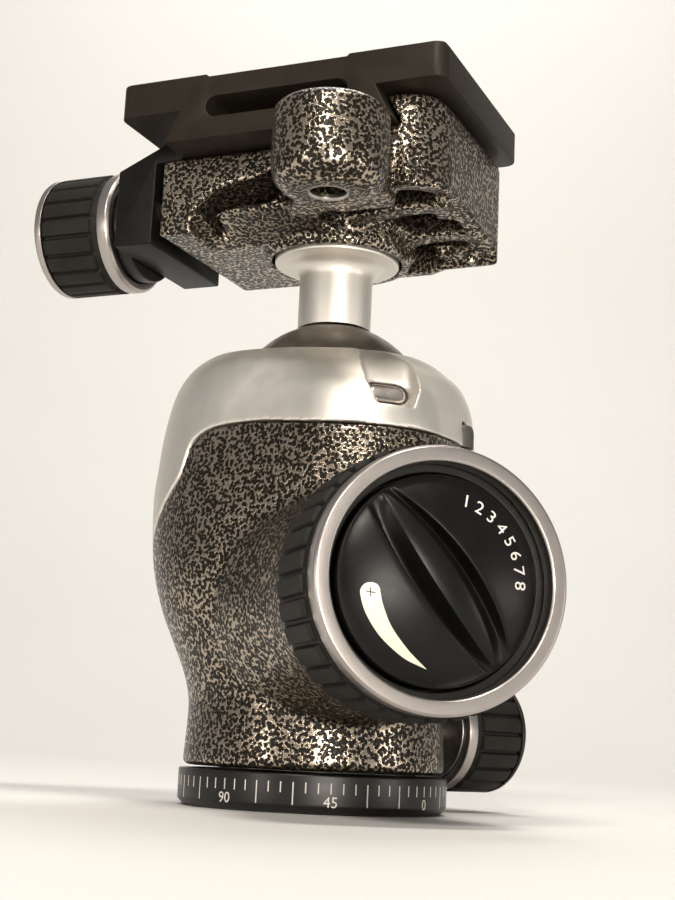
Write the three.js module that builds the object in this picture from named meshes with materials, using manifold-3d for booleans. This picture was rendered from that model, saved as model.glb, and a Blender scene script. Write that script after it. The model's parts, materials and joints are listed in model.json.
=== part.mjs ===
// Tripod ball head: panning base, hammer-finished housing with a bead-blasted collar, lock knob with a
// friction dial, pan lock knob, ball and stem, and a dovetail clamp holding a camera plate.
// Millimetres, +Z up. The origin is on the pan axis at the underside of the base; the lock knob is on -Y.
import * as THREE from 'three';
import { mergeVertices } from 'three/addons/utils/BufferGeometryUtils.js';
import Module from 'manifold-3d';

const wasm = await Module();
wasm.setup();

// Clearances and facet counts
const gap = 0.3;
const overrun = 1;
const roundSteps = 36;
const smallSteps = 20;
const ballSteps = 28;
const knobSteps = 24;
const sectionSteps = 32;
const arcSteps = 3;

// Base and its spindle
const baseRadius = 20.65;
const baseHeight = 5.5;
const baseBevel = 1.0;
const ringWidthShare = 0.184;
const threadRadius = 4.6;
const threadDepth = 13.4;
const bushWall = 1.6;
const spindleShares = [0.169, 0.348];
const spindleRise = 10.1;
const nutOverhang = 2.6;
const nutHeight = 2.4;
const neckStand = 0.2;
const washerShares = [0.214, 0.855];
const washerThickness = 0.8;
const shadowGap = 0.4;

// Lock shaft, lift piston, spring washers and ball cup, from the shaft up
const chamberRoof = 6.4;
const lockShaftRadius = 5;
const lockShaftTail = 6;
const lockWaistRadius = 3.8;
const frictionScrewRadius = 2;
const pistonRadius = 8.7;
const pistonHeight = 2.5;
const springHeight = 1.94;
const springInnerRadius = 4.4;
const cupFloor = 2.3;
const cupWall = 2.6;
const cupLipShare = 0.62;

// Ball and stem
const ballRadius = 16.5;
const stemRadius = 5.97;
const stemLength = 11.16;
const stemFloor = 2.4;
const flangeRadius = 10.2;
const flangeThickness = 1.3;
const flangeFillet = 2.4;
const spigotHeight = 1.2;

// Housing and collar
const footInset = 0.45;
const beltWall = 9.6;
const beltDrop = 13.74;
const mouthRiseShare = 0.676;
const mouthRadiusShare = 0.8;
const mouthChamfer = 1.4;
const collarDepth = 15.1;
const spineHalfWidth = 15.5;
const spineThickness = 12.4;
const spineCorner = 5;
const notchWidth = 10;
const notchHeight = 11.9;
const notchCorner = 1.6;
const insertWidth = 6.2;
const insertHeight = 2.9;
const insertLength = 2.9;
const pinRadius = 1.6;
const pinHeight = 3.7;
const pinAngle = 49;

// Lock knob and friction dial, on the -Y axis
const lockBossRadius = 16.2;
const lockBossReach = 35.6;
const lockKnobStand = 0.44;
const lockRingRadius = 17.2;
const lockRingWall = 2.1;
const lockRingLength = 2.8;
const lockGripProud = 0.7;
const lockGripWall = 1.7;
const lockGripLength = 12.6;
const lockRibCount = 36;
const lockRibDepth = 0.7;
const dialMargin = 1.4;
const dialSink = 1.84;
const dialRise = 2.9;
const dialThickness = 4.6;
const dialScoopRise = 0.4;
const dialAngle = -52.8;

// Pan lock knob, aimed from the pan axis
const panAngle = 22.2;
const panKnobStand = 3.75;
const panKnobRadius = 9.7;
const panRingLength = 1.9;
const panGripLength = 9.9;
const panEndLength = 0.8;
const panGripWall = 1.4;
const panRibCount = 20;
const panRibDepth = 0.6;
const panScrewRadius = 2.5;
const panShoeLength = 4.6;

// Clamp, in its own turned frame: x is across the dovetail, y along it, the level boss is on -y
const clampYaw = -41.1;
const castingDepth = 12.6;
const clampFront = 19;
const clampBack = 12;
const clampLeftWall = 3.25;
const clampRightWall = 6.35;
const clampCorner = 7;
const jawClearance = 0.5;
const frontBulge = 2.8;
const hubRecessMargin = 0.5;
const hubRim = 1.3;
const hubRimHeight = 0.9;
const webThickness = 3.8;
const wallThickness = 2.4;
const ribThickness = 1.9;
const ribLift = 3;
const ribHubMargin = 1;
const ribSwept = 134;
const ribStart = -72;
const skirtHeight = 2.9;
const skirtRun = 9;
const underArmDepth = 3;
const webDepth = 9;
const bossRadius = 8.4;
const bossCentreX = 13.1;
const bossReach = 14.9;
const bossDrop = 2.2;
const bossSink = 1.9;
const bossRound = 3.4;
const bossHoleRadius = 2.9;
const bossNeckWidth = 9;
const vialRadius = 6.4;
const vialHeight = 4.5;
const bezelWidth = 0.9;
const boltRadius = 2.9;
const boltHeadRadius = 4.6;
const boltHeadHeight = 2.6;
const boltClearance = 1;
const screwRadius = 2.4;
const screwSink = 9.5;
const screwHeightShare = 0.476;
const guidePinRadius = 1.4;
const guidePinSink = 7.5;
const guidePinCover = 1.4;
const guidePinInset = 3.8;
const jawSpringRadius = 3.6;
const jawSpringWire = 0.8;
const jawSpringTurns = 4;
const jawSpringSink = 3;
const boltLength = 11;

// Moving jaw
const jawGap = 2;
const jawThickness = 6.9;
const jawDrop = 0.7;
const jawShoulderDrop = 5.4;
const jawBrowDrop = 2.2;
const jawFrontInset = 1;
const jawBackInset = 6;

// Clamp knob, on the clamp's -x side
const clampKnobRadius = 10.2;
const clampEndRing = 1.25;
const clampGripLength = 10.4;
const clampInnerRing = 2.2;
const clampHubRadius = 8.6;
const clampHubLength = 2.15;
const clampGripWall = 1.5;
const clampRibCount = 20;
const clampRibDepth = 0.6;

// Camera plate
const plateShift = -0.7;
const plateFront = 25;
const plateBack = 12;
const plateSeat = 0.4;
const dovetailFootHalf = 19.05;
const dovetailUndercut = 2.6;
const dovetailRise = 5.1;
const slabOverhang = 8.45;
const slabThickness = 5.5;
const plateCorner = 2;
const plateEdge = 0.5;
const slotHalfWidth = 12;
const slotHeight = 3.4;
const topRecessHalf = 12.1;
const topRecessDepth = 0.4;
const padMargin = 2.2;
const padDepth = 1.2;
const cameraScrewRadius = 3.1;
const cameraScrewStand = 4.6;
const cameraHeadRadius = 6.4;
const cameraHeadHeight = 2.3;
const clipThickness = 0.6;
const clipWidth = 1.5;
const driveSlotWidth = 1.4;
const driveSlotDepth = 1.1;

const degrees = Math.PI / 180;

function material(colour, roughness, metalness) {
  return new THREE.MeshStandardMaterial({ color: colour, roughness, metalness });
}

// A closed three.js geometry as a solid: corners that meet are merged and the faces point outward.
function solid(geometry) {
  const bare = geometry.clone();
  bare.deleteAttribute('normal');
  bare.deleteAttribute('uv');
  const merged = mergeVertices(bare, 1e-4);
  const points = merged.getAttribute('position').array;
  const corners = [];
  let volume = 0;
  const index = merged.index.array;
  for (let i = 0; i < index.length; i += 3) {
    const [a, b, c] = [index[i], index[i + 1], index[i + 2]];
    if (a === b || b === c || a === c) continue;
    corners.push(a, b, c);
    const p = new THREE.Vector3().fromArray(points, 3 * a);
    const q = new THREE.Vector3().fromArray(points, 3 * b);
    const r = new THREE.Vector3().fromArray(points, 3 * c);
    volume += p.dot(q.cross(r));
  }
  if (volume < 0) corners.reverse();
  return new wasm.Manifold(new wasm.Mesh({
    numProp: 3,
    vertProperties: new Float32Array(points),
    triVerts: new Uint32Array(corners),
  }));
}

function geometryOf(body) {
  const mesh = body.getMesh();
  const geometry = new THREE.BufferGeometry();
  geometry.setAttribute('position', new THREE.BufferAttribute(new Float32Array(mesh.vertProperties), 3));
  geometry.setIndex(new THREE.BufferAttribute(new Uint32Array(mesh.triVerts), 1));
  return geometry;
}

function addPiece(group, name, body, surface) {
  const geometry = geometryOf(body).toNonIndexed();
  geometry.computeVertexNormals();
  const mesh = new THREE.Mesh(geometry, surface);
  mesh.name = name;
  group.add(mesh);
}

// A profile of [radius, height] points turned about Z; it closes on itself when it starts off the axis.
function turned(profile, steps = roundSteps) {
  const points = profile.map(([r, z]) => new THREE.Vector2(r, z));
  const offAxis = profile[0][0] > 0 || profile[profile.length - 1][0] > 0;
  if (offAxis) points.push(points[0].clone());
  return new THREE.LatheGeometry(points, steps).rotateX(Math.PI / 2);
}

function turnedSolid(profile, steps = roundSteps) {
  return solid(turned(profile, steps));
}

function rod(radius, low, high, steps = smallSteps) {
  return turned([[0, low], [radius, low], [radius, high], [0, high]], steps);
}

function ring(inner, outer, low, high, steps = roundSteps) {
  return turned([[inner, low], [outer, low], [outer, high], [inner, high]], steps);
}

// Points on an arc of a turned profile, from one polar angle to another measured from the axis.
function profileArc(radius, centreHeight, from, to, steps) {
  const points = [];
  for (let i = 0; i <= steps; i += 1) {
    const angle = from + ((to - from) * i) / steps;
    points.push([radius * Math.sin(angle), centreHeight + radius * Math.cos(angle)]);
  }
  return points;
}

function outline(points) {
  return new THREE.Shape(points.map(([x, y]) => new THREE.Vector2(x, y)));
}

function extruded(shape, depth, bevel = 0) {
  return new THREE.ExtrudeGeometry(shape, {
    depth: depth - 2 * bevel,
    bevelEnabled: bevel > 0,
    bevelSize: bevel,
    bevelOffset: -bevel,
    bevelThickness: bevel,
    bevelSegments: 1,
    curveSegments: arcSteps,
  }).translate(0, 0, bevel);
}

// An outline in the XZ plane, run along Y from low to high.
function alongY(points, low, high) {
  return extruded(outline(points), high - low).rotateX(Math.PI / 2).translate(0, high, 0);
}

// An outline in the YZ plane, run along X from low to high.
function alongX(points, low, high) {
  return extruded(outline(points), high - low)
    .rotateX(Math.PI / 2).rotateZ(Math.PI / 2).translate(low, 0, 0);
}

function roundedBox(x0, x1, y0, y1, radius) {
  const shape = new THREE.Shape();
  shape.moveTo(x0 + radius, y0);
  shape.lineTo(x1 - radius, y0);
  shape.absarc(x1 - radius, y0 + radius, radius, -Math.PI / 2, 0);
  shape.lineTo(x1, y1 - radius);
  shape.absarc(x1 - radius, y1 - radius, radius, 0, Math.PI / 2);
  shape.lineTo(x0 + radius, y1);
  shape.absarc(x0 + radius, y1 - radius, radius, Math.PI / 2, Math.PI);
  shape.lineTo(x0, y0 + radius);
  shape.absarc(x0 + radius, y0 + radius, radius, Math.PI, 1.5 * Math.PI);
  return shape;
}

// Ribbed sleeve: raised ribs with narrow grooves, run along the knob's axis.
function ribbedSleeve(inner, outer, low, high, count, depth, grooveShare) {
  const shape = new THREE.Shape();
  const pitch = (2 * Math.PI) / count;
  const corner = (radius, angle) => [radius * Math.cos(angle), radius * Math.sin(angle)];
  const cornerShares = [[0.5 - grooveShare, 0], [0.5 - grooveShare / 2, 1], [0.5 + grooveShare / 2, 1],
    [0.5 + grooveShare, 0]];
  const rim = [];
  for (let i = 0; i < count; i += 1) {
    for (const [turnShare, depthShare] of cornerShares) {
      rim.push(corner(outer - depth * depthShare, pitch * (i + turnShare)));
    }
  }
  shape.setFromPoints(rim.map(([x, y]) => new THREE.Vector2(x, y)));
  const bore = new THREE.Path();
  bore.absarc(0, 0, inner, 0, 2 * Math.PI, true);
  shape.holes.push(bore);
  const sleeve = new THREE.ExtrudeGeometry(shape, {
    depth: high - low, bevelEnabled: false, curveSegments: smallSteps,
  });
  return solid(sleeve.translate(0, 0, low));
}

const head = new THREE.Group();

// Finishes
const satinBlack = () => material(0x1b1a18, 0.45, 0.2);
const hammered = () => material(0x4a4036, 0.35, 0.7);
const blasted = () => material(0xb3a692, 0.45, 0.9);
const ringSilver = () => material(0x9b8d80, 0.35, 0.95);
const rubber = () => material(0x171614, 0.8, 0.0);
const anodised = () => material(0x221d19, 0.4, 0.5);
const steel = () => material(0x8f8f8f, 0.35, 1.0);
const brass = () => material(0xb08d4a, 0.4, 1.0);
const nylon = () => material(0xd9d4c8, 0.6, 0.0);
const ballCoat = () => material(0x6b6258, 0.4, 0.6);
const vialFluid = () => material(0xa8c64a, 0.1, 0);

// Radii of the base. The spindle's neck and its shoulder lie between the thread bush and the disc's edge,
// and the glide washer between that shoulder and the edge, each at its share of the way.
const ringInner = baseRadius * (1 - ringWidthShare);
const discRadius = ringInner - gap;
const bushRadius = threadRadius + bushWall;
const bushBore = bushRadius + gap;
const [neckRadius, spindleRadius] = spindleShares.map((share) => bushBore + (discRadius - bushBore) * share);
const [washerInner, washerOuter] = washerShares.map(
  (share) => spindleRadius + (discRadius - spindleRadius) * share);
const nutRadius = spindleRadius + nutOverhang;
const washerLow = baseHeight + gap;
const washerTop = washerLow + washerThickness;

// Heights, from the base up to the camera plate
const housingBottom = baseHeight + shadowGap;
const spindleTop = baseHeight + spindleRise;
const housingStep = spindleTop + gap;
const nutBottom = housingStep + gap;
const neckTop = nutBottom + nutHeight + neckStand;
const chamberTop = neckTop + 2 * gap;
const panAxisHeight = spindleTop - panScrewRadius - gap;
const lockAxisHeight = chamberTop + chamberRoof + lockShaftRadius;
const pistonBottom = lockAxisHeight + lockShaftRadius + gap;
const pistonTop = pistonBottom + pistonHeight;
const springBottom = pistonTop + gap;
const cupSeat = springBottom + springHeight;
const cupBottom = cupSeat + gap;
const cavityRadius = ballRadius + gap;
const ballHeight = cupBottom + cupFloor + cavityRadius;
const cupLip = ballHeight - cavityRadius * cupLipShare;
const beltHeight = ballHeight - beltDrop;
const collarTop = ballHeight + cavityRadius * mouthRiseShare;
const collarSeam = collarTop - collarDepth;
const clampBottom = ballHeight + cavityRadius + stemLength;
const stemTop = clampBottom + spigotHeight;
const clampDeck = clampBottom + castingDepth;
const dovetailBottom = clampDeck + plateSeat;
const slabBottom = dovetailBottom + dovetailRise;
const clampJawTop = slabBottom - jawClearance;
const plateTop = slabBottom + slabThickness;

// Radii of the ball's seat and the housing round it
const cupRadius = cavityRadius * Math.sqrt(1 - cupLipShare ** 2) + cupWall;
const mouthRadius = cavityRadius * mouthRadiusShare;
const footRadius = baseRadius - footInset;
const beltRadius = cavityRadius + beltWall;
const rimRadius = mouthRadius + mouthChamfer;

// Base: disc with spindle, index ring, threaded bush, glide washer and ring nut
function buildBase() {
  addPiece(head, 'index_ring', turnedSolid([
    [ringInner, 0], [baseRadius - baseBevel, 0], [baseRadius, baseBevel],
    [baseRadius, baseHeight], [ringInner, baseHeight],
  ]), satinBlack());
  addPiece(head, 'base_disc', turnedSolid([
    [bushBore, 0], [discRadius, 0], [discRadius, baseHeight], [spindleRadius, baseHeight],
    [spindleRadius, spindleTop], [neckRadius, spindleTop], [neckRadius, neckTop], [bushBore, neckTop],
  ], ballSteps), satinBlack());
  addPiece(head, 'thread_bush', turnedSolid([
    [0, threadDepth], [threadRadius, threadDepth], [threadRadius, 0], [bushRadius, 0], [bushRadius, spindleTop],
    [0, spindleTop],
  ], smallSteps), steel());
  addPiece(head, 'glide_washer', solid(
    ring(washerInner, washerOuter, washerLow, washerTop, smallSteps)), nylon());
  addPiece(head, 'spindle_nut', solid(
    ring(neckRadius + gap, nutRadius, nutBottom, nutBottom + nutHeight, smallSteps)), brass());
}

// The housing's plan at one height is the hull of a rear circle and a smaller nose circle toward the knob.
// Rows up the housing, foot to belt and belt to rim: height in the zone, radius from the zone's lower
// ring to its upper one, then as shares of that radius the rear circle's setback and the nose's reach,
// and the level's lean toward the front.
const footToBeltShares = [
  [0.000, 0.00, 0.000, 1.000, 0.00], [0.150, -0.06, 0.000, 1.000, 0.00], [0.249, -0.07, 0.020, 1.025, 0.00],
  [0.347, 0.08, 0.039, 1.063, 0.00], [0.458, 0.37, 0.062, 1.084, 0.00], [0.594, 0.71, 0.089, 1.081, 0.00],
  [0.766, 0.95, 0.123, 1.073, 0.00], [1.000, 1.00, 0.174, 1.076, 0.00],
];
const beltToRimShares = [
  [0.219, 0.043, 0.193, 1.093, 0.00], [0.418, 0.087, 0.197, 1.098, 0.00], [0.618, 0.156, 0.163, 1.073, 0.03],
  [0.737, 0.242, 0.140, 1.042, 0.06], [0.841, 0.381, 0.118, 1.018, 0.08], [0.912, 0.567, 0.096, 1.005, 0.10],
  [0.964, 0.787, 0.052, 1.000, 0.10], [1.000, 1.000, 0.020, 1.000, 0.10],
];
const noseRadiusShare = 0.53;

function housingSection(level, radius, [setbackShare, noseShare, leanShare]) {
  const setback = radius * setbackShare;
  const noseRadius = radius * noseRadiusShare;
  const noseCentre = noseRadius - radius * noseShare;
  const points = [];
  for (let i = 0; i < sectionSteps; i += 1) {
    const angle = (2 * Math.PI * i) / sectionSteps;
    const facing = Math.sin(angle);
    const useNose = noseCentre * facing + noseRadius > setback * facing + radius;
    const reach = useNose ? noseRadius : radius;
    const y = (useNose ? noseCentre : setback) + reach * facing;
    points.push([reach * Math.cos(angle), y, level + leanShare * (y - setback)]);
  }
  return points;
}

function housingSkin() {
  const zone = (rows, lowHeight, highHeight, lowRadius, highRadius) => rows.map(
    ([heightShare, radiusShare, ...plan]) => housingSection(
      lowHeight + (highHeight - lowHeight) * heightShare,
      lowRadius + (highRadius - lowRadius) * radiusShare,
      plan,
    ));
  return lofted([
    ...zone(footToBeltShares, housingBottom, beltHeight, footRadius, beltRadius),
    ...zone(beltToRimShares, beltHeight, collarTop, beltRadius, rimRadius),
  ]);
}

// A closed skin through sections of equal point count, with flat end caps.
function lofted(sections) {
  const count = sections[0].length;
  const positions = sections.flat(2);
  const index = [];
  for (let s = 0; s + 1 < sections.length; s += 1) {
    for (let i = 0; i < count; i += 1) {
      const a = s * count + i;
      const b = s * count + ((i + 1) % count);
      index.push(a, b, b + count, a, b + count, a + count);
    }
  }
  const last = (sections.length - 1) * count;
  for (let i = 1; i + 1 < count; i += 1) {
    index.push(0, i + 1, i);
    index.push(last, last + i, last + i + 1);
  }
  const geometry = new THREE.BufferGeometry();
  geometry.setAttribute('position', new THREE.Float32BufferAttribute(positions, 3));
  geometry.setIndex(index);
  return solid(geometry);
}

// A rectangle with rounded corners at one level, as a section for a loft.
function roundedSection(x0, x1, y0, y1, radius, level) {
  const points = [];
  const corners = [[x1, y0, -1], [x1, y1, 0], [x0, y1, 1], [x0, y0, 2]];
  for (const [x, y, quarter] of corners) {
    const centreX = x + (x === x1 ? -radius : radius);
    const centreY = y + (y === y1 ? -radius : radius);
    for (let i = 0; i <= arcSteps; i += 1) {
      const angle = (Math.PI / 2) * (quarter + i / arcSteps);
      points.push([centreX + radius * Math.cos(angle), centreY + radius * Math.sin(angle), level]);
    }
  }
  return points;
}

// Side view of the seam between the front housing and the collar with its rear spine, front to foot:
// shares of the belt's radius toward the back, and of the collar seam's height above the foot.
const seamShares = [
  [-1.140, 0.969], [-0.850, 0.983], [-0.600, 0.998], [-0.360, 0.994], [-0.215, 0.966], [-0.163, 0.927],
  [-0.115, 0.842], [0.085, 0.755], [0.305, 0.674], [0.530, 0.476], [0.680, 0.279], [0.690, 0.080],
];

// Everything behind and above the seam, moved forward and down by shift.
function seamRegion(shift) {
  const far = 2 * (beltRadius + collarTop);
  const rise = collarSeam - housingBottom;
  const shape = seamShares.map(([backShare, riseShare]) => [
    beltRadius * backShare - shift, housingBottom + rise * riseShare - shift]);
  shape.unshift([-far, shape[0][1]]);
  shape.push([shape[shape.length - 1][0], -far], [far, -far], [far, far], [-far, far]);
  return solid(alongX(shape, -far, far));
}

// The rear spine runs from the foot up into the housing's own skin. Rows: share of the way from the foot
// to the collar seam, share of the spine's half width, share of the foot's radius that the back reaches.
const spineShares = [
  [0.000, 1.00, 1.11], [0.130, 1.00, 1.12], [0.310, 1.03, 1.21], [0.490, 1.08, 1.35], [0.670, 1.12, 1.44],
];

function spineSolid() {
  return lofted(spineShares.map(([riseShare, widthShare, reachShare]) => {
    const half = spineHalfWidth * widthShare;
    const back = footRadius * reachShare;
    const level = housingBottom + (collarSeam - housingBottom) * riseShare;
    return roundedSection(-half, half, back - spineThickness, back, spineCorner, level);
  }));
}

function aimLock(geometry) {
  return geometry.rotateX(Math.PI / 2).translate(0, 0, lockAxisHeight);
}

function aimPan(geometry) {
  return geometry.rotateX(Math.PI / 2).rotateZ((90 + panAngle) * degrees).translate(0, 0, panAxisHeight);
}

function ballCavity() {
  const sphere = new THREE.SphereGeometry(cavityRadius, ballSteps, ballSteps / 2).rotateX(Math.PI / 2);
  return solid(sphere.translate(0, 0, ballHeight));
}

// The lock knob's boss flares into the housing. Rows: share of the boss radius, share of its reach.
const bossShares = [
  [1.31, 0.00], [1.27, 0.23], [1.20, 0.42], [1.11, 0.56], [1.04, 0.70], [1.00, 0.84], [1.00, 1.00],
];

function bossSolid() {
  const boss = solid(aimLock(turned([
    [0, 0], ...bossShares.map(([radiusShare, reachShare]) => [
      lockBossRadius * radiusShare, lockBossReach * reachShare]), [0, lockBossReach],
  ])));
  const ground = rod(lockBossReach + beltRadius, housingBottom - beltRadius, housingBottom, smallSteps);
  return boss.subtract(solid(ground));
}

// The thumb notch in the collar's front: a scoop that widens and runs in toward the mouth. Rows: height in
// the notch, middle and half width as shares of its width, reach of its floor as a share of the belt's radius.
const notchShares = [
  [0.00, 0.140, 0.27, 0.864], [0.20, 0.130, 0.33, 0.826], [0.53, 0.230, 0.44, 0.712], [0.86, 0.375, 0.50, 0.587],
  [1.15, 0.470, 0.52, 0.480],
];
const insertMiddleShare = 0.19;
const insertReachShare = 0.868;

function notchSolid() {
  return lofted(notchShares.map(([riseShare, middleShare, halfShare, floorShare]) => {
    const middle = notchWidth * middleShare;
    const half = notchWidth * halfShare;
    const level = collarTop - notchHeight * (1 - riseShare);
    return roundedSection(middle - half, middle + half, -2 * beltRadius, -beltRadius * floorShare,
      notchCorner, level);
  }));
}

// The dark glossy insert at the notch's foot, grown by grow on every side for its pocket.
function insertSolid(grow) {
  const radius = insertHeight / 2 + grow;
  const half = (insertWidth - insertHeight) / 2;
  const shape = new THREE.Shape();
  shape.absarc(half, 0, radius, -Math.PI / 2, Math.PI / 2);
  shape.absarc(-half, 0, radius, Math.PI / 2, 1.5 * Math.PI);
  const front = -beltRadius * insertReachShare - grow;
  return solid(extruded(shape, insertLength + 2 * grow).rotateX(Math.PI / 2)
    .translate(notchWidth * insertMiddleShare, front + insertLength + 2 * grow,
      collarTop - notchHeight + insertHeight / 2 + gap / 2));
}

// The olive pin stands on the seam beside the lock knob, half let into the collar.
function pinSolid(grow) {
  const angle = pinAngle * degrees;
  const radius = beltRadius * (1 - beltToRimShares[1][1]);
  const reach = radius * pinReachShare;
  return solid(rod(pinRadius + grow, collarSeam - grow, collarSeam + pinHeight + grow, smallSteps / 2)
    .translate(reach * Math.sin(angle), radius * beltToRimShares[1][2] - reach * Math.cos(angle), 0));
}
const pinReachShare = 0.97;

function buildHousing() {
  const skin = housingSkin();
  const cavity = ballCavity();
  const collarRegion = seamRegion(0);
  const frontCut = seamRegion(gap);
  const bottomBore = turnedSolid([
    [0, housingBottom - overrun], [spindleRadius + gap, housingBottom - overrun], [spindleRadius + gap, housingStep],
    [nutRadius + gap, housingStep], [nutRadius + gap, chamberTop], [0, chamberTop],
  ]);
  const washerRecess = solid(
    ring(spindleRadius, washerOuter + gap, housingBottom - overrun, washerTop + gap));
  const cupBore = turnedSolid([
    [0, pistonBottom - overrun], [pistonRadius + gap, pistonBottom - overrun], [pistonRadius + gap, cupSeat],
    [cupRadius + gap, cupSeat], [cupRadius + gap, cupLip + gap], [0, cupLip + gap],
  ]);
  const shaftBore = solid(aimLock(rod(lockShaftRadius + gap, -lockShaftTail - gap, lockBossReach + overrun)));
  const panBore = solid(aimPan(rod(panScrewRadius + gap, spindleRadius - overrun, baseRadius + panKnobStand)));
  const shared = [cavity, bottomBore, washerRecess, cupBore, shaftBore];

  let front = skin.add(bossSolid()).subtract(frontCut).subtract(panBore);
  for (const tool of shared) front = front.subtract(tool);
  addPiece(head, 'front_housing', front, hammered());

  const mouth = turnedSolid([
    [0, ballHeight], [mouthRadius, ballHeight], [mouthRadius, collarTop - mouthChamfer],
    [rimRadius, collarTop + gap], [rimRadius, collarTop + mouthRadius], [0, collarTop + mouthRadius],
  ]);
  let collar = skin.add(spineSolid()).intersect(collarRegion);
  for (const tool of [...shared, mouth, notchSolid(), insertSolid(gap), pinSolid(gap)]) {
    collar = collar.subtract(tool);
  }
  addPiece(head, 'collar', collar, blasted());
  addPiece(head, 'notch_insert', insertSolid(0), satinBlack());
  addPiece(head, 'collar_pin', pinSolid(0), satinBlack());

  const lipAngle = Math.PI - Math.acos(cupLipShare);
  addPiece(head, 'ball_cup', turnedSolid([
    ...profileArc(cavityRadius, ballHeight, Math.PI, lipAngle, 6),
    [cupRadius, cupLip], [cupRadius, cupBottom], [0, cupBottom],
  ], smallSteps), nylon());
  addPiece(head, 'spring_washers', solid(
    ring(springInnerRadius, pistonRadius, springBottom, cupSeat, smallSteps)), steel());
  addPiece(head, 'lift_piston', solid(rod(pistonRadius, pistonBottom, pistonTop)), steel());
  addPiece(head, 'pan_shoe', solid(aimPan(rod(panScrewRadius, spindleRadius + gap,
    spindleRadius + gap + panShoeLength, smallSteps / 2))), brass());
}

// Lock knob and friction dial. In this group z is the distance outward from the pan axis.
function buildLockKnob() {
  const group = new THREE.Group();
  group.position.z = lockAxisHeight;
  group.rotation.x = Math.PI / 2;
  head.add(group);
  const gripBack = lockBossReach + lockKnobStand;
  const gripFront = gripBack + lockGripLength;
  const ringBack = gripFront + gap;
  const knobFront = ringBack + lockRingLength;
  const ringInner = lockRingRadius - lockRingWall;
  const gripRadius = lockRingRadius + lockGripProud;
  const gripInner = gripRadius - lockGripWall;
  const coreRadius = gripInner - gap;
  const dialRadius = ringInner - dialMargin;
  const dialRim = knobFront - dialSink;
  const dialBack = dialRim - dialThickness;
  const pocketFloor = dialBack - gap;
  const shaftBoreRadius = frictionScrewRadius + gap;
  addPiece(group, 'lock_knob_core', turnedSolid([
    [lockShaftRadius + gap, gripBack], [coreRadius, gripBack], [coreRadius, gripFront],
    [dialRadius + gap, gripFront], [dialRadius + gap, pocketFloor], [lockShaftRadius + gap, pocketFloor],
  ], knobSteps), satinBlack());
  addPiece(group, 'lock_knob_grip', ribbedSleeve(gripInner, gripRadius, gripBack, gripFront,
    lockRibCount, lockRibDepth, lockGrooveShare), rubber());
  addPiece(group, 'lock_knob_ring', turnedSolid([
    [ringInner, ringBack], [lockRingRadius, ringBack], [lockRingRadius, knobFront - gap],
    [lockRingRadius - gap, knobFront], [ringInner + gap, knobFront], [ringInner, knobFront - gap],
  ]), ringSilver());
  addPiece(group, 'lock_shaft', turnedSolid([
    [shaftBoreRadius, -lockShaftTail], [lockShaftRadius, -lockShaftTail], [lockShaftRadius, -lockShaftTail / 2],
    [lockWaistRadius, 0], [lockShaftRadius, lockShaftTail / 2], [lockShaftRadius, pocketFloor],
    [shaftBoreRadius, pocketFloor],
  ], smallSteps), steel());
  addPiece(group, 'friction_screw', solid(
    rod(frictionScrewRadius, -lockShaftTail, pocketFloor, smallSteps / 2)), steel());
  addPiece(group, 'friction_dial', dialSolid(dialRadius, dialBack, dialRim), satinBlack());
}

// Groove width of each grip, as a share of its ribs' pitch
const lockGrooveShare = 0.22;
const smallGrooveShare = 0.1;

// The dial is a shallow dome with two scoops that leave a finger blade across it.
// Dome rows: share of the dial's radius, share of its rise over the rim.
const crownShares = [[1, 0], [0.88, 0.3], [0.72, 0.58], [0.52, 0.8], [0.28, 0.95], [0, 1]];
// Rows along the blade, all shares of the dial's radius: place, blade's half width, scoop's outer edge.
const scoopShares = [
  [-1.02, 0.015, 0.076], [-0.85, 0.044, 0.136], [-0.60, 0.080, 0.206], [-0.30, 0.108, 0.264],
  [0.00, 0.117, 0.292], [0.30, 0.108, 0.292], [0.60, 0.080, 0.263], [0.85, 0.044, 0.216], [1.02, 0.015, 0.172],
];
// Across a scoop, from the blade out: share of its width, share of the rise from its floor to the blade's top.
// It falls gently from the blade and climbs steeply to the outer edge.
const valleyShares = [[0.00, 0.94], [0.12, 0.66], [0.36, 0.30], [0.66, 0.00], [0.84, 0.12], [0.96, 0.62]];

function dialSolid(radius, back, rim) {
  const top = rim + dialRise;
  const crown = turnedSolid([
    [0, back], [radius, back],
    ...crownShares.map(([awayShare, riseShare]) => [radius * awayShare, rim + dialRise * riseShare]),
  ], knobSteps);
  const scoop = lofted(scoopShares.map(([alongShare, bladeShare, edgeShare]) => {
    const inner = radius * bladeShare;
    const width = radius * edgeShare - inner;
    const nearness = 1 - Math.min(1, alongShare ** 2);
    const floor = rim + dialScoopRise * nearness;
    const depth = (dialRise - dialScoopRise) * nearness;
    const along = radius * alongShare;
    return [
      [along, inner, top + overrun],
      ...valleyShares.map(([acrossShare, riseShare]) => [
        along, inner + width * acrossShare, floor + depth * riseShare]),
      [along, inner + width, top + overrun],
    ];
  }));
  return crown.subtract(scoop).subtract(scoop.rotate([0, 0, 180])).rotate([0, 0, dialAngle]);
}

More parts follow.
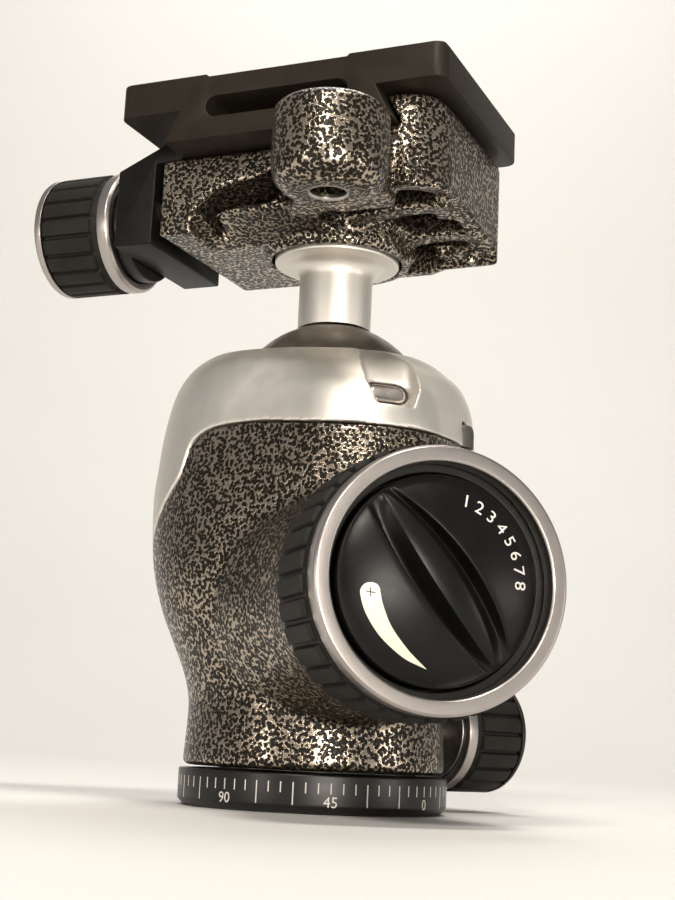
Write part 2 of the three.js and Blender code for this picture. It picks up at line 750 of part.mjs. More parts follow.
// Pan lock knob. In this group z is the distance outward from the pan axis.
function buildPanKnob() {
  const group = new THREE.Group();
  group.position.z = panAxisHeight;
  group.rotation.order = 'ZYX';
  group.rotation.set(Math.PI / 2, 0, (90 + panAngle) * degrees);
  head.add(group);
  const ringLow = baseRadius + panKnobStand;
  const ringHigh = ringLow + panRingLength;
  const gripLow = ringHigh + gap;
  const gripHigh = gripLow + panGripLength;
  const knobEnd = gripHigh + gap + panEndLength;
  const gripInner = panKnobRadius - panGripWall;
  const coreRadius = gripInner - gap;
  const screwStart = spindleRadius + 2 * gap + panShoeLength;
  addPiece(group, 'pan_knob_core', turnedSolid([
    [0, screwStart], [panScrewRadius, screwStart], [panScrewRadius, ringLow], [coreRadius, ringLow],
    [coreRadius, gripHigh], [0, gripHigh],
  ], smallSteps), satinBlack());
  addPiece(group, 'pan_knob_ring', solid(
    ring(coreRadius + gap, panKnobRadius, ringLow, ringHigh, knobSteps)), ringSilver());
  addPiece(group, 'pan_knob_grip', ribbedSleeve(gripInner, panKnobRadius, gripLow, gripHigh,
    panRibCount, panRibDepth, smallGrooveShare), rubber());
  addPiece(group, 'pan_knob_cap', turnedSolid([
    [0, gripHigh + gap], [panKnobRadius, gripHigh + gap], [panKnobRadius - gap, knobEnd], [0, knobEnd],
  ], knobSteps), satinBlack());
}

// The hollow fillet under the stem's flange: shares of its size outward and down.
const filletShares = [[0, 1], [0.15, 0.5], [0.6, 0.12]];

// Ball with its stem: the stem's foot follows the ball's sphere, its flange carries the clamp.
function buildBallAndStem() {
  const sphere = new THREE.SphereGeometry(ballRadius, ballSteps, ballSteps / 2).rotateX(Math.PI / 2);
  addPiece(head, 'ball', solid(sphere.translate(0, 0, ballHeight)), ballCoat());
  const footAngle = Math.asin(stemRadius / cavityRadius);
  const flangeBottom = clampBottom - flangeThickness;
  addPiece(head, 'stem', turnedSolid([
    ...profileArc(cavityRadius, ballHeight, 0, footAngle, 4),
    ...filletShares.map(([outShare, downShare]) => [
      stemRadius + flangeFillet * outShare, flangeBottom - flangeFillet * downShare]),
    [flangeRadius, flangeBottom + gap], [flangeRadius, stemTop], [boltRadius + gap, stemTop],
    [boltRadius + gap, stemBoreFloor], [0, stemBoreFloor],
  ], smallSteps), blasted());
}

const stemBoreFloor = ballHeight + cavityRadius + stemFloor;

const clamp = new THREE.Group();
clamp.rotation.z = clampYaw * degrees;
head.add(clamp);

// Widths across the clamp, from the plate's dovetail outward
const dovetailNeckHalf = dovetailFootHalf - dovetailUndercut;
const plateHalfWidth = dovetailFootHalf + slabOverhang;
const clampLeft = dovetailFootHalf - plateShift + clampLeftWall;
const clampRight = dovetailFootHalf + plateShift + clampRightWall;
const jawFace = clampLeft + jawGap;
const jawOuter = jawFace + jawThickness;
const hubRecessRadius = flangeRadius + hubRecessMargin;
const hubRadius = hubRecessRadius + hubRim;
const ribHubRadius = hubRadius + ribHubMargin;

// Heights and places along the clamp
const bossBottom = clampBottom - bossDrop;
const bossTop = clampDeck - bossSink;
const bossCentreY = clampFront + bossReach;
const screwAxisHeight = clampBottom + castingDepth * screwHeightShare;
const jawFront = clampFront - jawFrontInset;
const jawBack = clampBack - jawBackInset;
const screwAxisY = (jawFront - jawBack) / 2;
const pinSpacing = jawFront + jawBack - 2 * guidePinInset;
const slotCentre = slabBottom;

// The plate's flank at one height, with the clearance of the wall that faces it.
function flankAt(height) {
  const flankSlope = dovetailUndercut / dovetailRise;
  return dovetailFootHalf - flankSlope * (height - dovetailBottom) + gap + gap / 2;
}

function clampProfile() {
  return [
    [-clampLeft, clampBottom], [clampRight, clampBottom], [clampRight, clampJawTop - overrun],
    [clampRight - overrun, clampJawTop], [plateShift + flankAt(clampJawTop), clampJawTop],
    [plateShift + flankAt(clampDeck), clampDeck], [-clampLeft, clampDeck],
  ];
}

const frontReach = clampFront + frontBulge;

function clampPlan() {
  const shape = new THREE.Shape();
  shape.moveTo(-clampLeft, -clampFront);
  shape.lineTo(bossCentreX - bossRadius, -clampFront);
  shape.lineTo(bossCentreX, -frontReach);
  shape.lineTo(clampRight - clampCorner, -frontReach);
  shape.absarc(clampRight - clampCorner, -frontReach + clampCorner, clampCorner, -Math.PI / 2, 0);
  shape.lineTo(clampRight, clampBack - overrun);
  shape.lineTo(clampRight - overrun, clampBack);
  shape.lineTo(-clampLeft, clampBack);
  return shape;
}

// Sector-shaped pocket between two ribs under the fixed jaw.
function ribPocket(from, to, low, high) {
  const reach = 2 * clampRight;
  const steps = 3;
  const points = [];
  for (let i = 0; i <= steps; i += 1) {
    const angle = (from + ((to - from) * i) / steps) * degrees;
    points.push([ribHubRadius * Math.cos(angle), ribHubRadius * Math.sin(angle)]);
  }
  points.push([reach * Math.cos(to * degrees), reach * Math.sin(to * degrees)]);
  points.push([reach * Math.cos(from * degrees), reach * Math.sin(from * degrees)]);
  const sector = solid(extruded(outline(points), high - low).translate(0, 0, low));
  const room = solid(extruded(roundedBox(0, clampRight - wallThickness,
    -frontReach + wallThickness, clampBack - wallThickness, clampCorner / 2),
  high - low).translate(0, 0, low));
  return sector.intersect(room);
}

// Places of the three ribs, as shares of the sweep that their pockets cover
const ribShares = [0.336, 0.567, 0.702];

// The underside rises toward the level boss: the outer wall's lower edge is an arch that drops to the
// casting's foot at the back. Rows: share of the way from the front to the back, share of the depth.
const archShares = [
  [-0.10, 0.667], [0.11, 0.651], [0.40, 0.540], [0.67, 0.452], [0.83, 0.278], [0.94, 0.000],
];

function buildClampBody() {
  const plan = solid(extruded(clampPlan(), clampJawTop - clampBottom + 2 * overrun)
    .translate(0, 0, clampBottom - overrun));
  const section = solid(alongY(clampProfile(), -frontReach - overrun, clampBack + overrun));
  let body = section.intersect(plan);

  const pocketTop = clampDeck - webThickness;
  const pocketLow = clampBottom - overrun;
  const halfRib = ribThickness / ribHubRadius / degrees / 3;
  const edges = [0, ...ribShares, 1].map((share) => ribStart + ribSwept * share);
  for (let i = 0; i + 1 < edges.length; i += 1) {
    const from = edges[i] + (i > 0 ? halfRib : 0);
    const to = edges[i + 1] - (i + 2 < edges.length ? halfRib : 0);
    body = body.subtract(ribPocket(from, to, pocketLow, pocketTop));
  }
  body = body.subtract(ribPocket(edges[0], edges[edges.length - 1], pocketLow, clampBottom + ribLift));

  const archAt = ([alongShare, depthShare]) => [
    -frontReach + (frontReach + clampBack) * alongShare, clampBottom + castingDepth * depthShare];
  const archOutline = [...archShares.map(archAt), [clampBack, clampBottom - overrun],
    [-frontReach - overrun, clampBottom - overrun]];
  body = body.subtract(solid(alongX(archOutline, clampRight - wallThickness - overrun, clampRight + overrun)));
  const underArm = archAt(archShares[0])[1];
  body = body.subtract(solid(alongY([
    [bossCentreX - underArmDepth, clampBottom - overrun], [clampRight + overrun, clampBottom - overrun],
    [clampRight + overrun, underArm], [bossCentreX, underArm],
  ], -frontReach - overrun, -clampFront + underArmDepth)));

  const pocketAt = ([acrossShare, depthShare]) => [
    -clampLeft * acrossShare, clampBottom + castingDepth * depthShare];
  body = body.subtract(solid(alongY(frontPocketShares.map(pocketAt),
    -frontReach - overrun, -clampFront + webDepth)));
  body = body.subtract(solid(alongX([
    [-frontReach - overrun, clampBottom - overrun], [-clampFront + skirtRun, clampBottom - overrun],
    [-clampFront + skirtRun, clampBottom], [-clampFront, clampBottom + skirtHeight],
    [-frontReach - overrun, clampBottom + skirtHeight],
  ], -clampLeft * skirtShare, clampRight + overrun)));

  const hub = solid(rod(hubRadius, clampBottom - hubRimHeight, clampDeck - overrun, roundSteps));
  body = body.add(hub).add(levelBoss()).add(bossNeck());

  const atBoss = (geometry) => solid(geometry.translate(bossCentreX, -bossCentreY, 0));
  const tools = [
    solid(rod(hubRecessRadius, clampBottom - hubRimHeight - overrun, stemTop + gap, roundSteps)),
    solid(rod(boltRadius + gap, clampBottom, clampDeck + overrun)),
    solid(rod(boltHeadRadius + gap, clampDeck - boltHeadHeight - 2 * gap, clampDeck + overrun)),
    atBoss(rod(bossHoleRadius, bossBottom - overrun, bossTop + overrun)),
    atBoss(rod(vialRadius + gap, bossTop - vialHeight - 2 * gap, bossTop + overrun, roundSteps)),
    aimedAcross(rod(screwRadius + gap, -screwSink, overrun)),
    aimedAcross(rod(jawSpringRadius + gap, -jawSpringSink - gap, overrun)),
  ];
  for (const side of [-1, 1]) {
    tools.push(aimedAcross(rod(guidePinRadius + gap, -guidePinSink - gap, overrun, smallSteps / 2),
      (side * pinSpacing) / 2));
  }
  for (const tool of tools) body = body.subtract(tool);
  addPiece(clamp, 'clamp_body', body, hammered());
}

// Outline of the pocket in the casting's front, left of the hub: share of the left reach, share of depth
const frontPocketShares = [
  [0.74, 0.270], [0.70, 0.380], [0.15, 0.722], [-0.09, 0.722], [-0.09, 0.349], [0.60, 0.254],
];
const skirtShare = 0.76;

// The level boss hangs out in front: an upright drum with a rounded foot.
function levelBoss() {
  const round = [];
  for (let i = 0; i <= arcSteps; i += 1) {
    const angle = (Math.PI / 2) * (i / arcSteps);
    round.push([bossRadius - bossRound * (1 - Math.sin(angle)), bossBottom + bossRound * (1 - Math.cos(angle))]);
  }
  return solid(turned([
    [0, bossBottom], ...round, [bossRadius, bossTop - overrun], [bossRadius - overrun, bossTop], [0, bossTop],
  ]).translate(bossCentreX, -bossCentreY, 0));
}

// The arm under the plate's end that carries the level boss on the casting.
function bossNeck() {
  const low = clampBottom + overrun;
  const high = clampDeck - bossSink - gap;
  const half = bossNeckWidth / 2;
  return solid(extruded(outline([
    [bossCentreX - half, -bossCentreY], [bossCentreX + half, -bossCentreY],
    [clampRight - clampCorner, -clampFront], [clampRight - clampCorner, -clampFront + overrun],
    [0, -clampFront + overrun], [0, -clampFront],
  ]), high - low).translate(0, 0, low));
}

// Turns a Z-aligned tool to run along the clamp screw, z = 0 at the body's left face, outward positive.
function acrossGeometry(geometry, alongShift = 0) {
  return geometry.rotateY(-Math.PI / 2).translate(-clampLeft, -screwAxisY + alongShift, screwAxisHeight);
}

function aimedAcross(geometry, alongShift = 0) {
  return solid(acrossGeometry(geometry, alongShift));
}

function buildClampPieces() {
  const headBottom = clampDeck - boltHeadHeight - gap;
  addPiece(clamp, 'platform_bolt', turnedSolid([
    [0, headBottom - boltLength], [boltRadius, headBottom - boltLength], [boltRadius, headBottom],
    [boltHeadRadius, headBottom], [boltHeadRadius, headBottom + boltHeadHeight - gap],
    [boltHeadRadius / 2, headBottom + boltHeadHeight - gap], [boltHeadRadius / 2, headBottom + gap],
    [0, headBottom + gap],
  ], smallSteps), steel());
  const vialLow = bossTop - vialHeight - gap;
  const vialTop = bossTop - gap;
  const centred = (geometry) => solid(geometry.translate(bossCentreX, -bossCentreY, 0));
  addPiece(clamp, 'level_vial', centred(rod(vialRadius - bezelWidth - gap, vialLow, vialTop)), vialFluid());
  addPiece(clamp, 'level_bezel', centred(
    ring(vialRadius - bezelWidth, vialRadius, vialLow, vialTop, smallSteps)), steel());
  const names = ['guide_pin_front', 'guide_pin_back'];
  [-1, 1].forEach((side, i) => {
    addPiece(clamp, names[i], aimedAcross(rod(guidePinRadius, -guidePinSink,
      jawGap + jawThickness - guidePinCover, smallSteps / 2), (side * pinSpacing) / 2), steel());
  });
  addPiece(clamp, 'jaw_spring', aimedAcross(springGeometry()), steel());
}

// Open compression spring: one unbroken wire of few facets round the clamp screw.
function springGeometry() {
  const sides = 4;
  const stepsPerTurn = 10;
  const rows = jawSpringTurns * stepsPerTurn;
  const coilRadius = jawSpringRadius - jawSpringWire / 2;
  const climb = jawSpringSink + jawGap - jawSpringWire - 2 * gap;
  const start = -jawSpringSink + jawSpringWire / 2 + gap;
  const positions = [];
  for (let i = 0; i <= rows; i += 1) {
    const turn = (2 * Math.PI * i) / stepsPerTurn;
    for (let s = 0; s < sides; s += 1) {
      const around = (2 * Math.PI * s) / sides;
      const radius = coilRadius + (jawSpringWire / 2) * Math.cos(around);
      positions.push(radius * Math.cos(turn), radius * Math.sin(turn),
        start + (climb * i) / rows + (jawSpringWire / 2) * Math.sin(around));
    }
  }
  const index = [];
  for (let i = 0; i < rows; i += 1) {
    for (let s = 0; s < sides; s += 1) {
      const a = i * sides + s;
      const b = i * sides + ((s + 1) % sides);
      index.push(a, b, b + sides, a, b + sides, a + sides);
    }
  }
  for (let s = 1; s + 1 < sides; s += 1) {
    index.push(0, s + 1, s, rows * sides, rows * sides + s, rows * sides + s + 1);
  }
  const geometry = new THREE.BufferGeometry();
  geometry.setAttribute('position', new THREE.Float32BufferAttribute(positions, 3));
  geometry.setIndex(index);
  return geometry;
}

// Moving jaw: a block outside the body whose lip reaches over it to the plate's flank.
function buildJaw() {
  const lipTip = clampJawTop;
  const lipLow = clampDeck + gap;
  const flankTip = plateShift - flankAt(lipTip);
  let jaw = solid(alongY([
    [-jawOuter, clampBottom - jawDrop], [-jawFace, clampBottom - jawDrop], [-jawFace, lipLow],
    [plateShift - flankAt(lipLow), lipLow], [flankTip, lipTip], [flankTip - dovetailRise * jawCrownShare, lipTip],
    [-jawFace + gap, lipTip - jawBrowDrop], [-jawOuter, lipTip - jawShoulderDrop],
  ], -jawFront, jawBack));
  jaw = jaw.subtract(aimedAcross(rod(screwRadius + gap, 0, jawGap + jawThickness + overrun)));
  for (const side of [-1, 1]) {
    jaw = jaw.subtract(aimedAcross(rod(guidePinRadius + gap, 0, jawGap + jawThickness - guidePinCover + gap,
      smallSteps / 2), (side * pinSpacing) / 2));
  }
  addPiece(clamp, 'clamp_jaw', jaw, satinBlack());
}
const jawCrownShare = 0.7;

// Clamp knob. In this group z is the distance outward from the body's left face.
function buildClampKnob() {
  const group = new THREE.Group();
  group.position.set(-clampLeft, -screwAxisY, screwAxisHeight);
  group.rotation.y = -Math.PI / 2;
  clamp.add(group);
  const hubLow = jawGap + jawThickness + gap;
  const innerRingLow = hubLow + clampHubLength + gap;
  const innerRingHigh = innerRingLow + clampInnerRing;
  const gripLow = innerRingHigh + gap;
  const gripHigh = gripLow + clampGripLength;
  const outerRingLow = gripHigh + gap;
  const end = outerRingLow + clampEndRing;
  const gripInner = clampKnobRadius - clampGripWall;
  const coreRadius = gripInner - gap;
  addPiece(group, 'clamp_knob_core', turnedSolid([
    [screwRadius + gap, hubLow], [clampHubRadius, hubLow], [clampHubRadius, innerRingLow - gap],
    [coreRadius, innerRingLow - gap], [coreRadius, gripHigh], [screwRadius + gap, gripHigh],
  ], knobSteps), satinBlack());
  addPiece(group, 'clamp_knob_ring_inner', turnedSolid([
    [gripInner, innerRingLow], [clampKnobRadius - gap, innerRingLow], [clampKnobRadius, innerRingLow + gap],
    [clampKnobRadius, innerRingHigh], [gripInner, innerRingHigh],
  ], knobSteps), ringSilver());
  addPiece(group, 'clamp_knob_grip', ribbedSleeve(gripInner, clampKnobRadius, gripLow, gripHigh,
    clampRibCount, clampRibDepth, smallGrooveShare), rubber());
  addPiece(group, 'clamp_knob_ring_outer', turnedSolid([
    [0, outerRingLow], [clampKnobRadius, outerRingLow], [clampKnobRadius, end - gap],
    [clampKnobRadius - gap, end], [0, end],
  ], knobSteps), ringSilver());
  addPiece(group, 'clamp_screw', solid(
    rod(screwRadius, -screwSink + gap, gripHigh, smallSteps / 2)), steel());
}

// Camera plate with its through channel, top recess, pads and captive screw.
function buildPlate() {
  const section = [
    [-plateHalfWidth, slabBottom], [-dovetailNeckHalf, slabBottom], [-dovetailFootHalf, dovetailBottom],
    [dovetailFootHalf, dovetailBottom], [dovetailNeckHalf, slabBottom], [plateHalfWidth, slabBottom],
    [plateHalfWidth, plateTop - plateEdge], [plateHalfWidth - plateEdge, plateTop],
    [topRecessHalf, plateTop], [topRecessHalf - topRecessDepth, plateTop - topRecessDepth],
    [-topRecessHalf + topRecessDepth, plateTop - topRecessDepth], [-topRecessHalf, plateTop],
    [-plateHalfWidth + plateEdge, plateTop], [-plateHalfWidth, plateTop - plateEdge],
  ];
  const place = (geometry) => geometry.translate(plateShift, 0, 0);
  let plate = solid(place(alongY(section, -plateFront, plateBack)));
  const plan = solid(place(extruded(roundedBox(-plateHalfWidth, plateHalfWidth, -plateFront, plateBack, plateCorner),
    plateTop - dovetailBottom + 2 * overrun).translate(0, 0, dovetailBottom - overrun)));
  plate = plate.intersect(plan);
  const channelEnd = slotHeight / 2;
  const channel = new THREE.Shape();
  channel.absarc(slotHalfWidth - channelEnd, 0, channelEnd, -Math.PI / 2, Math.PI / 2);
  channel.absarc(-slotHalfWidth + channelEnd, 0, channelEnd, Math.PI / 2, 1.5 * Math.PI);
  const length = plateFront + plateBack + 2 * overrun;
  plate = plate.subtract(solid(place(extruded(channel, length).rotateX(Math.PI / 2)
    .translate(0, plateBack + overrun, slotCentre))));
  const midY = (plateBack - plateFront) / 2;
  const centred = (geometry) => place(geometry).translate(0, midY, 0);
  const headTop = slotCentre + slotHeight / 2 - clipThickness - 2 * gap;
  plate = plate.subtract(solid(centred(rod(cameraScrewRadius + gap, dovetailBottom, plateTop + overrun))));
  plate = plate.subtract(solid(centred(rod(cameraHeadRadius + gap, dovetailBottom - overrun, slotCentre))));
  const padPlan = (side, grow) => {
    const inner = topRecessHalf + padMargin / 2 - grow;
    const outer = plateHalfWidth - padMargin + grow;
    const low = -plateFront + padMargin - grow;
    const high = plateBack - padMargin + grow;
    return side > 0 ? roundedBox(inner, outer, low, high, plateCorner)
      : roundedBox(-outer, -inner, low, high, plateCorner);
  };
  const padNames = ['plate_pad_left', 'plate_pad_right'];
  [-1, 1].forEach((side, i) => {
    plate = plate.subtract(solid(place(extruded(padPlan(side, gap), padDepth + overrun)
      .translate(0, 0, plateTop - padDepth))));
    addPiece(clamp, padNames[i], solid(place(extruded(padPlan(side, 0), padDepth - gap)
      .translate(0, 0, plateTop - padDepth + gap))), rubber());
  });
  addPiece(clamp, 'camera_plate', plate, anodised());

  const headLow = headTop - cameraHeadHeight;
  let screw = turnedSolid([
    [0, headLow], [cameraHeadRadius, headLow], [cameraHeadRadius, headTop], [cameraScrewRadius, headTop],
    [cameraScrewRadius, plateTop + cameraScrewStand - gap], [cameraScrewRadius - gap, plateTop + cameraScrewStand],
    [0, plateTop + cameraScrewStand],
  ], smallSteps);
  const drive = new THREE.BoxGeometry(2 * cameraHeadRadius + overrun, driveSlotWidth, 2 * driveSlotDepth);
  screw = screw.subtract(solid(drive.translate(0, 0, headLow)));
  const screwGeometry = geometryOf(screw);
  addPiece(clamp, 'camera_screw', solid(centred(screwGeometry)), steel());
  addPiece(clamp, 'screw_clip', solid(centred(ring(cameraScrewRadius + gap / 2, cameraScrewRadius + clipWidth,
    headTop + gap, headTop + gap + clipThickness, smallSteps))), steel());
}

buildBase();
buildHousing();
buildLockKnob();
buildPanKnob();
buildBallAndStem();
buildClampBody();
buildClampPieces();
buildJaw();
buildClampKnob();
buildPlate();

export default head;
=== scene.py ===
# %% [markdown]
# # A tripod ball head, dressed for its portrait
#
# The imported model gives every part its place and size. This script loads it as a fixed frame and
# then builds finer versions of the parts that show: cast and blasted housings, turned rings, ribbed
# grips, a scooped dial and an engraved index ring. All sizes below are in millimetres in the frame
# of the part that carries them, and they turn into metres only when a mesh is made.

# %% Load the frame
import json
import math

import bmesh
import bpy
import numpy as np
from mathutils import Matrix, Vector


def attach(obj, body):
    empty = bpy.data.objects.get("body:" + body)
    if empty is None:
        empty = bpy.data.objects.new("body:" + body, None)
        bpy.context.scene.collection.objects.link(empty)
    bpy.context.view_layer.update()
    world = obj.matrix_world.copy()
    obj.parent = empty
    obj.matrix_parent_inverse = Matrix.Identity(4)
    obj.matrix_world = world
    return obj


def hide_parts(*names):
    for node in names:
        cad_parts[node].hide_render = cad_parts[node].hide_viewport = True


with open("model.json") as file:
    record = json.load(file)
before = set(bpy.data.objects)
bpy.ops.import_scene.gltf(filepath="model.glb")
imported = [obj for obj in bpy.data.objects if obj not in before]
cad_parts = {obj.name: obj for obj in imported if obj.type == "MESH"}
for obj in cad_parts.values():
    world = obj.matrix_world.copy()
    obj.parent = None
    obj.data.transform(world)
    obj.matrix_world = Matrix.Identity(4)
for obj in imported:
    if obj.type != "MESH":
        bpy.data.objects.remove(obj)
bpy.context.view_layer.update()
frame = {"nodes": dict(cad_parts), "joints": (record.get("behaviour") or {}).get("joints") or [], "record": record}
MM = 0.001

# %% [markdown]
# ## Working frames
#
# Knobs and clamp sit at odd angles. Their joints already say where each axis runs, so a small matrix
# per joint is enough: z along the axis, y upward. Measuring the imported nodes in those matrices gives
# the driving sizes, and nothing has to be typed twice.

# %% Frames from the joints
WORLD = Matrix.Identity(4)


def joint(name):
    return next(j for j in frame["joints"] if j["name"] == name)


def axis_frame(name, up=Vector((0, 0, 1))):
    """Millimetre frame with z along a joint's axis and its origin level with the pan axis."""
    z = Vector(joint(name)["axis"]).normalized()
    anchor = Vector(joint(name)["pos_m"]) / MM
    origin = anchor - z * anchor.dot(z)
    x = up.cross(z).normalized()
    turn = Matrix((x, z.cross(x), z)).transposed()
    return Matrix.Translation(origin) @ turn.to_4x4()


def span(node, place=WORLD):
    """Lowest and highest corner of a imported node, in millimetres, measured in a working frame."""
    points = np.array([v.co for v in frame["nodes"][node].data.vertices]) / MM
    inverse = np.array(place.inverted())
    local = points @ inverse[:3, :3].T + inverse[:3, 3]
    return Vector(local.min(0)), Vector(local.max(0))


def ends(node, place):
    """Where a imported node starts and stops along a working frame's axis."""
    low, high = span(node, place)
    return low.z, high.z


LOCK = axis_frame("lock_turn")
PAN = axis_frame("pan_lock_turn")
KNOB = axis_frame("clamp_screw_turn")
across = -Vector(joint("jaw_slide")["axis"]).normalized()
CLAMP = Matrix.Rotation(math.atan2(across.y, across.x), 4, "Z")
ball_centre = joint("ball_tilt_x")["pos_m"][2] / MM
print("clamp turned by", round(math.degrees(math.atan2(across.y, across.x)), 1), "degrees")

# %% [markdown]
# ## Mesh helpers
#
# Nearly every part of a head like this leaves a lathe, so one function turns a profile about z. A
# second one rounds the corners of a profile first: real edges are broken by a tenth or two of a
# millimetre, and those tiny rounds are what catches the light.

# %% Turned profiles
def softened(profile, edge=0.2, steps=4, closed=False):
    """Rounds each corner of a [radius, height] profile; a third number overrides the edge size."""
    count = len(profile)
    points = []
    for i, corner in enumerate(profile):
        here = Vector(corner[:2])
        if not closed and i in (0, count - 1):
            points.append(here)
            continue
        before = Vector(profile[i - 1][:2])
        after = Vector(profile[(i + 1) % count][:2])
        size = corner[2] if len(corner) > 2 else edge
        start = here + (before - here).normalized() * min(size, 0.45 * (before - here).length)
        end = here + (after - here).normalized() * min(size, 0.45 * (after - here).length)
        for s in range(steps + 1):
            t = s / steps
            points.append(start * (1 - t) ** 2 + here * 2 * t * (1 - t) + end * t ** 2)
    return points


def turned(profile, steps=160, closed=False):
    """A profile turned about z as a bmesh; points on the axis become one vertex."""
    bm = bmesh.new()
    rings = []
    for r, z in profile:
        if r < 1e-6:
            rings.append([bm.verts.new((0, 0, z))])
        else:
            rings.append([bm.verts.new((r * math.cos(2 * math.pi * k / steps),
                                        r * math.sin(2 * math.pi * k / steps), z)) for k in range(steps)])
    pairs = list(zip(rings, rings[1:])) + ([(rings[-1], rings[0])] if closed else [])
    for low, high in pairs:
        for k in range(steps):
            n = (k + 1) % steps
            if len(low) == 1 and len(high) > 1:
                bm.faces.new((low[0], high[n], high[k]))
            elif len(high) == 1 and len(low) > 1:
                bm.faces.new((low[k], low[n], high[0]))
            elif len(low) > 1:
                bm.faces.new((low[k], low[n], high[n], high[k]))
    bmesh.ops.recalc_face_normals(bm, faces=bm.faces)
    return bm


def grid_skin(rows, wrap=True, caps=True, loop=False):
    """A skin through rows of equal point count: closed round each row, with end caps or run as a loop."""
    bm = bmesh.new()
    grid = [[bm.verts.new(p) for p in row] for row in rows]
    count = len(rows[0])
    for low, high in zip(grid, grid[1:] + (grid[:1] if loop else [])):
        for k in range(count if wrap else count - 1):
            n = (k + 1) % count
            bm.faces.new((low[k], low[n], high[n], high[k]))
    if caps:
        bm.faces.new(grid[0])
        bm.faces.new(grid[-1])
    bmesh.ops.recalc_face_normals(bm, faces=bm.faces)
    return bm


def rounded_row(x0, x1, y0, y1, radius, z, steps=8):
    """A rounded rectangle at one height."""
    row = []
    for x, y, quarter in ((x1 - radius, y0 + radius, -1), (x1 - radius, y1 - radius, 0),
                          (x0 + radius, y1 - radius, 1), (x0 + radius, y0 + radius, 2)):
        for i in range(steps + 1):
            angle = math.pi / 2 * (quarter + i / steps)
            row.append((x + radius * math.cos(angle), y + radius * math.sin(angle), z))
    return row


# %% [markdown]
# A finished bmesh becomes an object in its working frame: scaled to metres, smooth where faces meet
# gently, sharp where they don't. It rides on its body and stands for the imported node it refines. Most
# parts here leave a lathe, so `lathed` runs that whole chain in one call. Castings go another way:
# rough solids are joined and cut, and `cast` rebuilds the result on a fine grid and relaxes it.

# %% Pieces
SLOT = {}


def as_object(name, bm, place=WORLD):
    mesh = bpy.data.meshes.new(name)
    bm.transform(Matrix.Scale(MM, 4) @ place)
    bm.to_mesh(mesh)
    bm.free()
    obj = bpy.data.objects.new(name, mesh)
    bpy.context.scene.collection.objects.link(obj)
    return obj


def settle(obj, body, material, stands_for=(), angle=32):
    """Shades a piece, gives it its finish, and ties it to its body and node."""
    obj.data.polygons.foreach_set("use_smooth", [True] * len(obj.data.polygons))
    obj.data.set_sharp_from_angle(angle=math.radians(angle))
    obj.data.materials.clear()
    obj.data.materials.append(material)
    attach(obj, body)
    if stands_for:
        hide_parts(*stands_for)
    return obj


def lathed(name, profile, body, material, node=None, place=WORLD, edge=0.2, rounds=4, steps=160,
           closed=True, angle=32):
    """A piece that leaves the lathe: its profile is softened, turned, finished and tied to its node."""
    skin = turned(softened(profile, edge, rounds, closed), steps, closed)
    return settle(as_object(name, skin, place), body, material, [node] if node else (), angle)


def baked(obj):
    """Applies the modifiers of a piece to its mesh."""
    graph = bpy.context.evaluated_depsgraph_get()
    mesh = bpy.data.meshes.new_from_object(obj.evaluated_get(graph))
    obj.modifiers.clear()
    obj.data = mesh
    return obj


def combine(obj, tool, operation):
    """Joins, cuts or crops a piece with another closed piece, which is used up."""
    modifier = obj.modifiers.new("combine", "BOOLEAN")
    modifier.operation = operation
    modifier.solver = "MANIFOLD"
    modifier.object = tool
    baked(obj)
    bpy.data.objects.remove(tool)
    return obj


def cast(obj, voxel, passes, factor=0.5):
    """Rebuilds a piece on a fine grid and relaxes it, which rounds its edges like a casting's."""
    remesh = obj.modifiers.new("grid", "REMESH")
    remesh.mode = "VOXEL"
    remesh.voxel_size = voxel * MM
    relax = obj.modifiers.new("relax", "SMOOTH")
    relax.iterations = passes
    relax.factor = factor
    return baked(obj)


# %% [markdown]
# ## Finishes
#
# Each finish is a small node tree on object coordinates, so the pattern stays with the part when it
# moves. `Finish` keeps the wiring short: it makes the shader, hands out texture coordinates in
# millimetres and adds the usual nodes in one line each.

